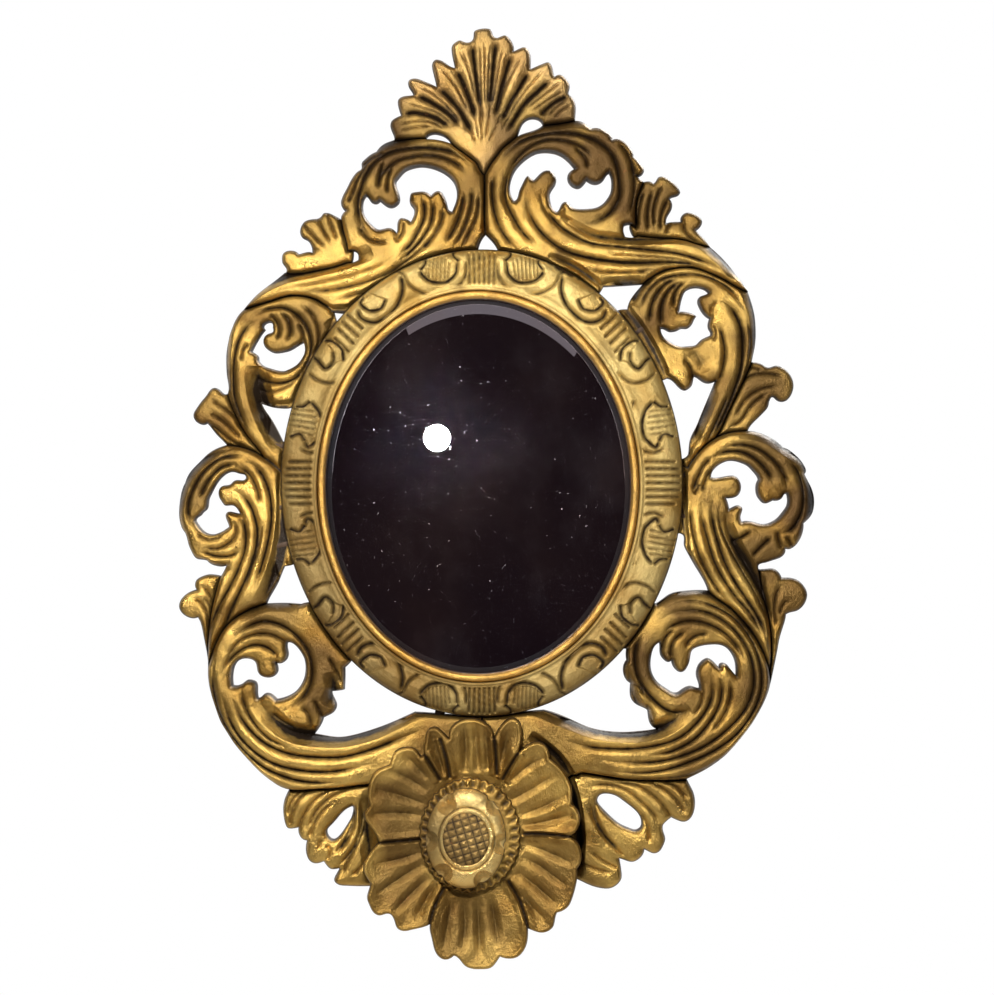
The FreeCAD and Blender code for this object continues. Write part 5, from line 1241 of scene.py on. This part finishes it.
BROWN_GOLD_AND_SHADE = colour(84, 60, 28)
RUBBED_GOLD_AND_HIGHLIGHT = colour(246, 204, 112)
DIRT_AND_SHADE = colour(44, 30, 13)
SPECK = colour(62, 40, 20)
BOLE = colour(140, 90, 50)
BACK_WOOD = (colour(122, 90, 58), colour(84, 58, 36))


def gilt(name, light, mid, flank, rough, metal=0.96):
    """Old water gilding: worn gold over brown bole, grime and painted shade in the hollows, painted
    shade on the flanks, darker and lighter patches with painted shade and highlight, bare wood
    behind.
    """
    f = Finish(name)
    tone = f.spread(f.noise(26.0, 5.0), 0.35, 0.65)
    gold = f.blend(tone, colour(*light), colour(*mid))
    # Random umber clouds, and darker patches that carry painted shade as well as browning.
    cloud = f.spread(f.noise(34.0, 7.0, 0.62), 0.47, 0.66)
    umber_and_shade = f.most(f.times(cloud, 0.55), f.times(f.mark("browned_and_shade"), 0.94))
    gold = f.blend(umber_and_shade, gold, BROWN_GOLD_AND_SHADE)
    # Lighter patches: gold worn bright in part, painted highlight in part.
    patchy = f.spread(f.noise(30.0, 5.0), 0.25, 0.6, 0.1, 0.75)
    gold = f.blend(f.times(f.mark("rubbed_and_highlight"), patchy), gold, RUBBED_GOLD_AND_HIGHLIGHT)
    crumbs = f.noise(160.0, 6.0, 0.65)
    # Hollows go dark: grime, and painted shade where light reaches less.
    depth = f.add_up(f.mark("hollow_shade_and_grime"), f.spread(crumbs, 0.3, 0.7, -0.14, 0.22))
    hollow = f.spread(depth, 0.16, 0.85)
    gold = f.blend(hollow, gold, DIRT_AND_SHADE)
    # Flanks and slopes go dark: painted shade.
    flank_and_slope_shade = f.add_up(f.mark("flank_and_slope_shade"), f.spread(crumbs, 0.3, 0.7, -0.15, 0.15))
    side = f.spread(flank_and_slope_shade, 0.30, 0.85)
    gold = f.blend(side, gold, colour(*flank))
    speck = f.spread(f.noise(700.0, 3.0, 0.7), 0.66, 0.75)
    gold = f.blend(f.times(speck, 0.6), gold, SPECK)
    worn = f.spread(f.noise(95.0, 6.0, 0.7), 0.64, 0.72)
    gold = f.blend(f.times(worn, 0.5), gold, BOLE)
    behind = f.mark("back")
    grain = f.noise(40.0, 6.0, 0.6, f.stretched(1.0, 1.0, 0.12))
    wood = f.blend(f.spread(grain, 0.35, 0.65), *BACK_WOOD)
    f.give("Base Color", f.blend(behind, gold, wood))
    bare = f.most(f.times(hollow, 0.6), f.times(side, 0.7))
    bare = f.most(f.most(bare, f.times(umber_and_shade, 0.4)), behind)
    f.give("Metallic", f.spread(bare, 0.0, 1.0, metal, 0.0))
    smoke = f.spread(f.noise(60.0, 5.0), 0.3, 0.7, rough - 0.07, rough + 0.09)
    f.give("Roughness", f.add_up(smoke, f.times(bare, 0.30)))
    f.give("Specular IOR Level", 0.35)
    brushed = f.noise(900.0, 4.0, 0.7, f.stretched(1.0, 1.0, 0.45))
    uneven = f.add_up(f.noise(420.0, 5.0, 0.6), f.noise(150.0, 4.0))
    f.bump(f.add_up(uneven, brushed), 0.7, 0.0008)
    return f.material


def black_wash_shade():
    """Matt black size on the slip's sight edge, which also stands as painted shade for the unlit
    rebate that the glass's bevel mirrors.
    """
    f = Finish("black_wash_shade")
    f.give("Base Color", f.blend(f.noise(90.0), colour(16, 12, 10), colour(34, 26, 20)))
    f.give("Roughness", 0.9)
    f.give("Specular IOR Level", 0.05)
    return f.material


def plain_wood(name, pale, dark):
    """Bare wood with an upright grain and old stains."""
    f = Finish(name)
    grain = f.noise(70.0, 8.0, 0.65, f.stretched(1.0, 1.0, 0.10))
    stain = f.spread(f.noise(9.0, 4.0), 0.45, 0.75, 0.0, 0.6)
    wood = f.blend(f.spread(grain, 0.35, 0.68), colour(*pale), colour(*dark))
    f.give("Base Color", f.blend(stain, wood, colour(58, 42, 28)))
    f.give("Roughness", f.spread(grain, 0.3, 0.7, 0.62, 0.85))
    f.bump(grain, 0.4, 0.0005)
    return f.material


def old_metal(name, base, tarnish, rough=0.38):
    """Metal with clouds of tarnish."""
    f = Finish(name)
    cloud = f.spread(f.noise(180.0, 6.0, 0.6), 0.4, 0.68)
    f.give("Base Color", f.blend(cloud, colour(*base), colour(*tarnish)))
    f.give("Metallic", f.spread(cloud, 0.0, 1.0, 1.0, 0.55))
    f.give("Roughness", f.spread(cloud, 0.0, 1.0, rough, rough + 0.25))
    f.bump(f.noise(900.0, 4.0), 0.25, 0.0002)
    return f.material


def silvered_glass():
    """A silvered plate seen in the dark, with dust, wiped smears and faint haze."""
    f = Finish("silvered_glass")
    dust = f.spread(f.noise(620.0, 3.0, 0.8), 0.69, 0.73)
    smear = f.spread(f.noise(14.0, 7.0, 0.65, f.stretched(1.1, 1.0, 0.8)), 0.50, 0.80)
    haze = f.spread(f.noise(7.0, 3.0), 0.38, 0.72)
    film = f.add_up(f.times(smear, 0.014), f.times(haze, 0.006))
    f.give("Base Color", f.blend(haze, colour(196, 196, 214), colour(206, 178, 176)))
    f.give("Metallic", f.spread(f.most(f.times(dust, 0.35), film), 0.0, 1.0, 1.0, 0.0))
    f.give("Roughness", f.spread(dust, 0.0, 1.0, 0.0, 0.4))
    return f.material


# ---------------------------------------------------------------- the object
def dress(piece, node, material):
    """A visible piece in place of a node of the mirror body."""
    piece.data.materials.clear()
    piece.data.materials.append(material)
    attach(piece, "mirror")
    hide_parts(node)
    return piece


def keep(node, material):
    """A node shown with its own shape, in a finish."""
    mesh = nodes[node].data
    if not len(mesh.materials):
        mesh.materials.append(material)
    for k in range(len(mesh.materials)):
        mesh.materials[k] = material


BOARDS = {
    "crest_palmette": (CREST_CUTS, (), ()),
    "upper_scroll_left": (UPPER_LEFT_CUTS, UPPER_LEFT_SLOPES, UPPER_LEFT_KNOBS),
    "upper_scroll_right": (UPPER_RIGHT_CUTS, UPPER_RIGHT_SLOPES, UPPER_RIGHT_KNOBS),
    "flank_scroll_left": (FLANK_LEFT_CUTS, FLANK_LEFT_SLOPES, FLANK_LEFT_KNOBS),
    "flank_scroll_right": (FLANK_RIGHT_CUTS, FLANK_RIGHT_SLOPES, FLANK_RIGHT_KNOBS),
    "side_scroll_left": (SIDE_LEFT_CUTS, SIDE_LEFT_SLOPES, SIDE_LEFT_KNOBS),
    "side_scroll_right": (SIDE_RIGHT_CUTS, SIDE_RIGHT_SLOPES, SIDE_RIGHT_KNOBS),
    "lower_scroll_left": (LOWER_LEFT_CUTS, LOWER_LEFT_SLOPES, LOWER_LEFT_KNOBS),
    "lower_scroll_right": (LOWER_RIGHT_CUTS, LOWER_RIGHT_SLOPES, LOWER_RIGHT_KNOBS),
    "shoulder_leaf_left": (SHOULDER_CUTS, (), ()),
    "shoulder_leaf_right": (UPPER_RIGHT_CUTS, (), UPPER_RIGHT_KNOBS),
    "sprig_left_upper": (SPRIG_CUTS, (), SPRIG_KNOBS),
    "sprig_right_upper": (SPRIG_CUTS, (), SPRIG_KNOBS),
    "sprig_left_lower": (SPRIG_CUTS, (), SPRIG_KNOBS),
    "sprig_right_lower": (SPRIG_CUTS, (), SPRIG_KNOBS),
    "skirt_leaf_left": (SKIRT_CUTS, SKIRT_SLOPES, SKIRT_KNOBS),
    "skirt_leaf_right": (SKIRT_CUTS, SKIRT_SLOPES, SKIRT_KNOBS),
    "bottom_block": ((), (), ()),
}


def build_front():
    """All that shows from the front, each piece in place of its node."""
    # Each finish's third colour is the painted shade on flanks and slopes.
    gold = gilt("old_gilding", (208, 170, 92), (150, 112, 50), (34, 23, 11), 0.31)
    crest = gilt("crest_gilding", (208, 172, 112), (150, 112, 62), (44, 30, 16), 0.34)
    ring = gilt("frame_gilding", (240, 212, 136), (188, 150, 76), (48, 34, 16), 0.38, 0.7)
    slip = gilt("slip_gilding", (222, 178, 98), (190, 144, 70), (80, 56, 26), 0.34)
    boss = gilt("boss_gilding", (252, 220, 144), (232, 186, 104), (60, 42, 20), 0.26, 0.8)
    seed = gilt("seed_gilding", (196, 162, 100), (126, 98, 54), (44, 32, 16), 0.40)
    for node, strokes in BOARDS.items():
        tone = crest if node == "crest_palmette" else gold
        dress(carve_board(node, *strokes), node, tone)
    dress(build_ring(), "oval_frame", ring)
    moulding = dress(build_slip(), "sight_slip", slip)
    # The sight edge is black, partly as painted shade of the unlit rebate.
    moulding.data.materials.append(black_wash_shade())
    for face in moulding.data.polygons[:SLIP_WALL_FACES]:
        face.material_index = 1
    dress(build_petals(), "rosette_petals", gold)
    dress(build_collar(), "rosette_collar", gold)
    dress(build_boss(), "rosette_boss", boss)
    dress(build_seed(), "rosette_seed", seed)
    dress(build_glass(), "mirror_glass", silvered_glass())


def finish_back():
    """Finishes for the backboard, the dowels and the metal, which keep their own shapes."""
    keep("backboard", plain_wood("backboard_pine", (168, 128, 82), (116, 82, 48)))
    dowels = plain_wood("dowel_wood", (72, 50, 30), (48, 32, 18))
    for node in ("joint_dowels", "rosette_dowel"):
        keep(node, dowels)
    brass = old_metal("turn_button_brass", (196, 158, 84), (104, 78, 42))
    for k in range(1, 7):
        keep("turn_button_%d" % k, brass)
    steel = old_metal("screw_steel", (130, 126, 120), (70, 60, 52))
    for node in ("turn_button_screws", "hanger_screws"):
        keep(node, steel)
    keep("hanger_plate", old_metal("hanger_brass", (190, 152, 82), (92, 70, 40)))
    keep("hanger_ring", old_metal("hanger_ring_brass", (198, 160, 90), (100, 76, 44)))


# ---------------------------------------------------------------- studio, in metres
CAMERA = Vector((0.012, -3.2, -0.0116))
VIEW_WIDTH = 0.7952         # what the picture's width shows at the carving's face
CARVING_FACE_Y = -0.026
SENSOR_WIDTH = 36.0         # mm
DIM_WORLD = 0.35            # the white world's strength where it lights matt surfaces

# Lamps are (place, target, watts, width, tint). The flash stands where its reflection in
# the glass has the photo's place and size, and the window's falls on the head bevel.
WARM, COOL, BLUE = (1.0, 0.97, 0.92), (1.0, 0.98, 0.96), (0.5, 0.68, 1.0)
LAMPS = {
    "flash": ((-0.0454, -0.637, 0.0453), (-0.0454, 0.0, 0.0453), 3.2, 0.0248, WARM),
    "key": ((-0.40, -1.20, 0.88), (0.0, 0.0, 0.05), 18.0, 0.34, WARM),
    "window": ((0.06, -1.30, 0.60), (0.02, 0.0, 0.10), 0.30, 0.74, COOL),
    "behind": ((0.7, 1.7, 0.9), (0.0, 0.0, 0.0), 16.0, 0.7, WARM),
    "low_blue": ((-0.16, -1.30, -0.60), (0.0, 0.0, -0.1), 0.30, 0.62, BLUE),
}
# Planes are (middle, half across, half up).
FLOOR = ((0, -0.9, -1.0), (3.2, 0, 0), (0, 3.2, 0))
DRAPES = {
    "drape_front": ((0, -3.4, 0.3), (2.0, 0, 0), (0, 0, 2.0)),
    "drape_left": ((-1.7, -1.3, 0.3), (0, 2.2, 0), (0, 0, 2.0)),
    "drape_right": ((1.7, -1.3, 0.3), (0, 2.2, 0), (0, 0, 2.0)),
    "drape_top": ((0, -1.3, 2.2), (1.8, 0, 0), (0, 2.2, 0)),
}


def look_at(thing, target):
    thing.rotation_euler = (Vector(target) - thing.location).to_track_quat("-Z", "Y").to_euler()


def lamp(name, where, target, power, size, tint):
    """A round lamp that lights the object but isn't seen itself."""
    data = bpy.data.lights.new(name, "AREA")
    data.shape = "DISK"
    data.size = size
    data.energy = power
    data.color = tint
    thing = bpy.data.objects.new(name, data)
    thing.location = where
    look_at(thing, target)
    thing.visible_camera = False
    bpy.context.scene.collection.objects.link(thing)


def stage_plane(name, middle, across, up, material):
    middle, across, up = Vector(middle), Vector(across), Vector(up)
    corners = [middle - across - up, middle + across - up, middle + across + up,
               middle - across + up]
    mesh = bpy.data.meshes.new(name)
    mesh.from_pydata([tuple(c) for c in corners], [], [(0, 1, 2, 3)])
    mesh.materials.append(material)
    piece = bpy.data.objects.new(name, mesh)
    bpy.context.scene.collection.objects.link(piece)
    return piece


def pale_floor():
    f = Finish("pale_floor")
    f.give("Base Color", f.blend(f.noise(3.0), colour(244, 243, 241), colour(238, 237, 235)))
    f.give("Roughness", 0.9)
    f.give("Specular IOR Level", 0.0)
    return f.material


def dark_drape():
    """The dark room round the camera, which only the gold and the glass reflect."""
    f = Finish("dark_drape")
    f.give("Base Color", colour(18, 13, 14))
    f.give("Emission Color", colour(40, 27, 30))
    f.give("Emission Strength", 0.5)
    f.give("Roughness", 0.9)
    f.give("Specular IOR Level", 0.0)
    return f.material


def build_world():
    """A white world at full strength where it is seen or mirrored, and dim as a light."""
    world = bpy.data.worlds.new("studio")
    bpy.context.scene.world = world
    world.use_nodes = True
    tree = world.node_tree
    shine = tree.nodes["Background"]
    shine.inputs["Color"].default_value = (1, 1, 1, 1)
    rays = tree.nodes.new("ShaderNodeLightPath")
    seen = rays.outputs["Is Camera Ray"]
    for kind in ("Is Transmission Ray", "Is Glossy Ray"):
        either = tree.nodes.new("ShaderNodeMath")
        either.operation = "MAXIMUM"
        tree.links.new(seen, either.inputs[0])
        tree.links.new(rays.outputs[kind], either.inputs[1])
        seen = either.outputs[0]
    level = tree.nodes.new("ShaderNodeMapRange")
    level.inputs["To Min"].default_value = DIM_WORLD
    level.inputs["To Max"].default_value = 1.0
    tree.links.new(seen, level.inputs["Value"])
    tree.links.new(level.outputs["Result"], shine.inputs["Strength"])


def build_stage():
    stage_plane("floor", *FLOOR, pale_floor())
    drape = dark_drape()
    for name, plane in DRAPES.items():
        piece = stage_plane(name, *plane, drape)
        piece.visible_camera = False
        piece.visible_shadow = False
        piece.visible_diffuse = False


def build_camera():
    data = bpy.data.cameras.new("camera")
    data.sensor_width = SENSOR_WIDTH
    data.lens = SENSOR_WIDTH * (CARVING_FACE_Y - CAMERA.y) / VIEW_WIDTH
    camera = bpy.data.objects.new("camera", data)
    camera.location = CAMERA
    look_at(camera, (CAMERA.x, 0.0, CAMERA.z))
    bpy.context.scene.collection.objects.link(camera)
    bpy.context.scene.camera = camera
    bpy.context.scene.view_settings.view_transform = "Standard"


build_front()
finish_back()
build_world()
build_stage()
for name, settings in LAMPS.items():
    lamp(name, *settings)
build_camera()
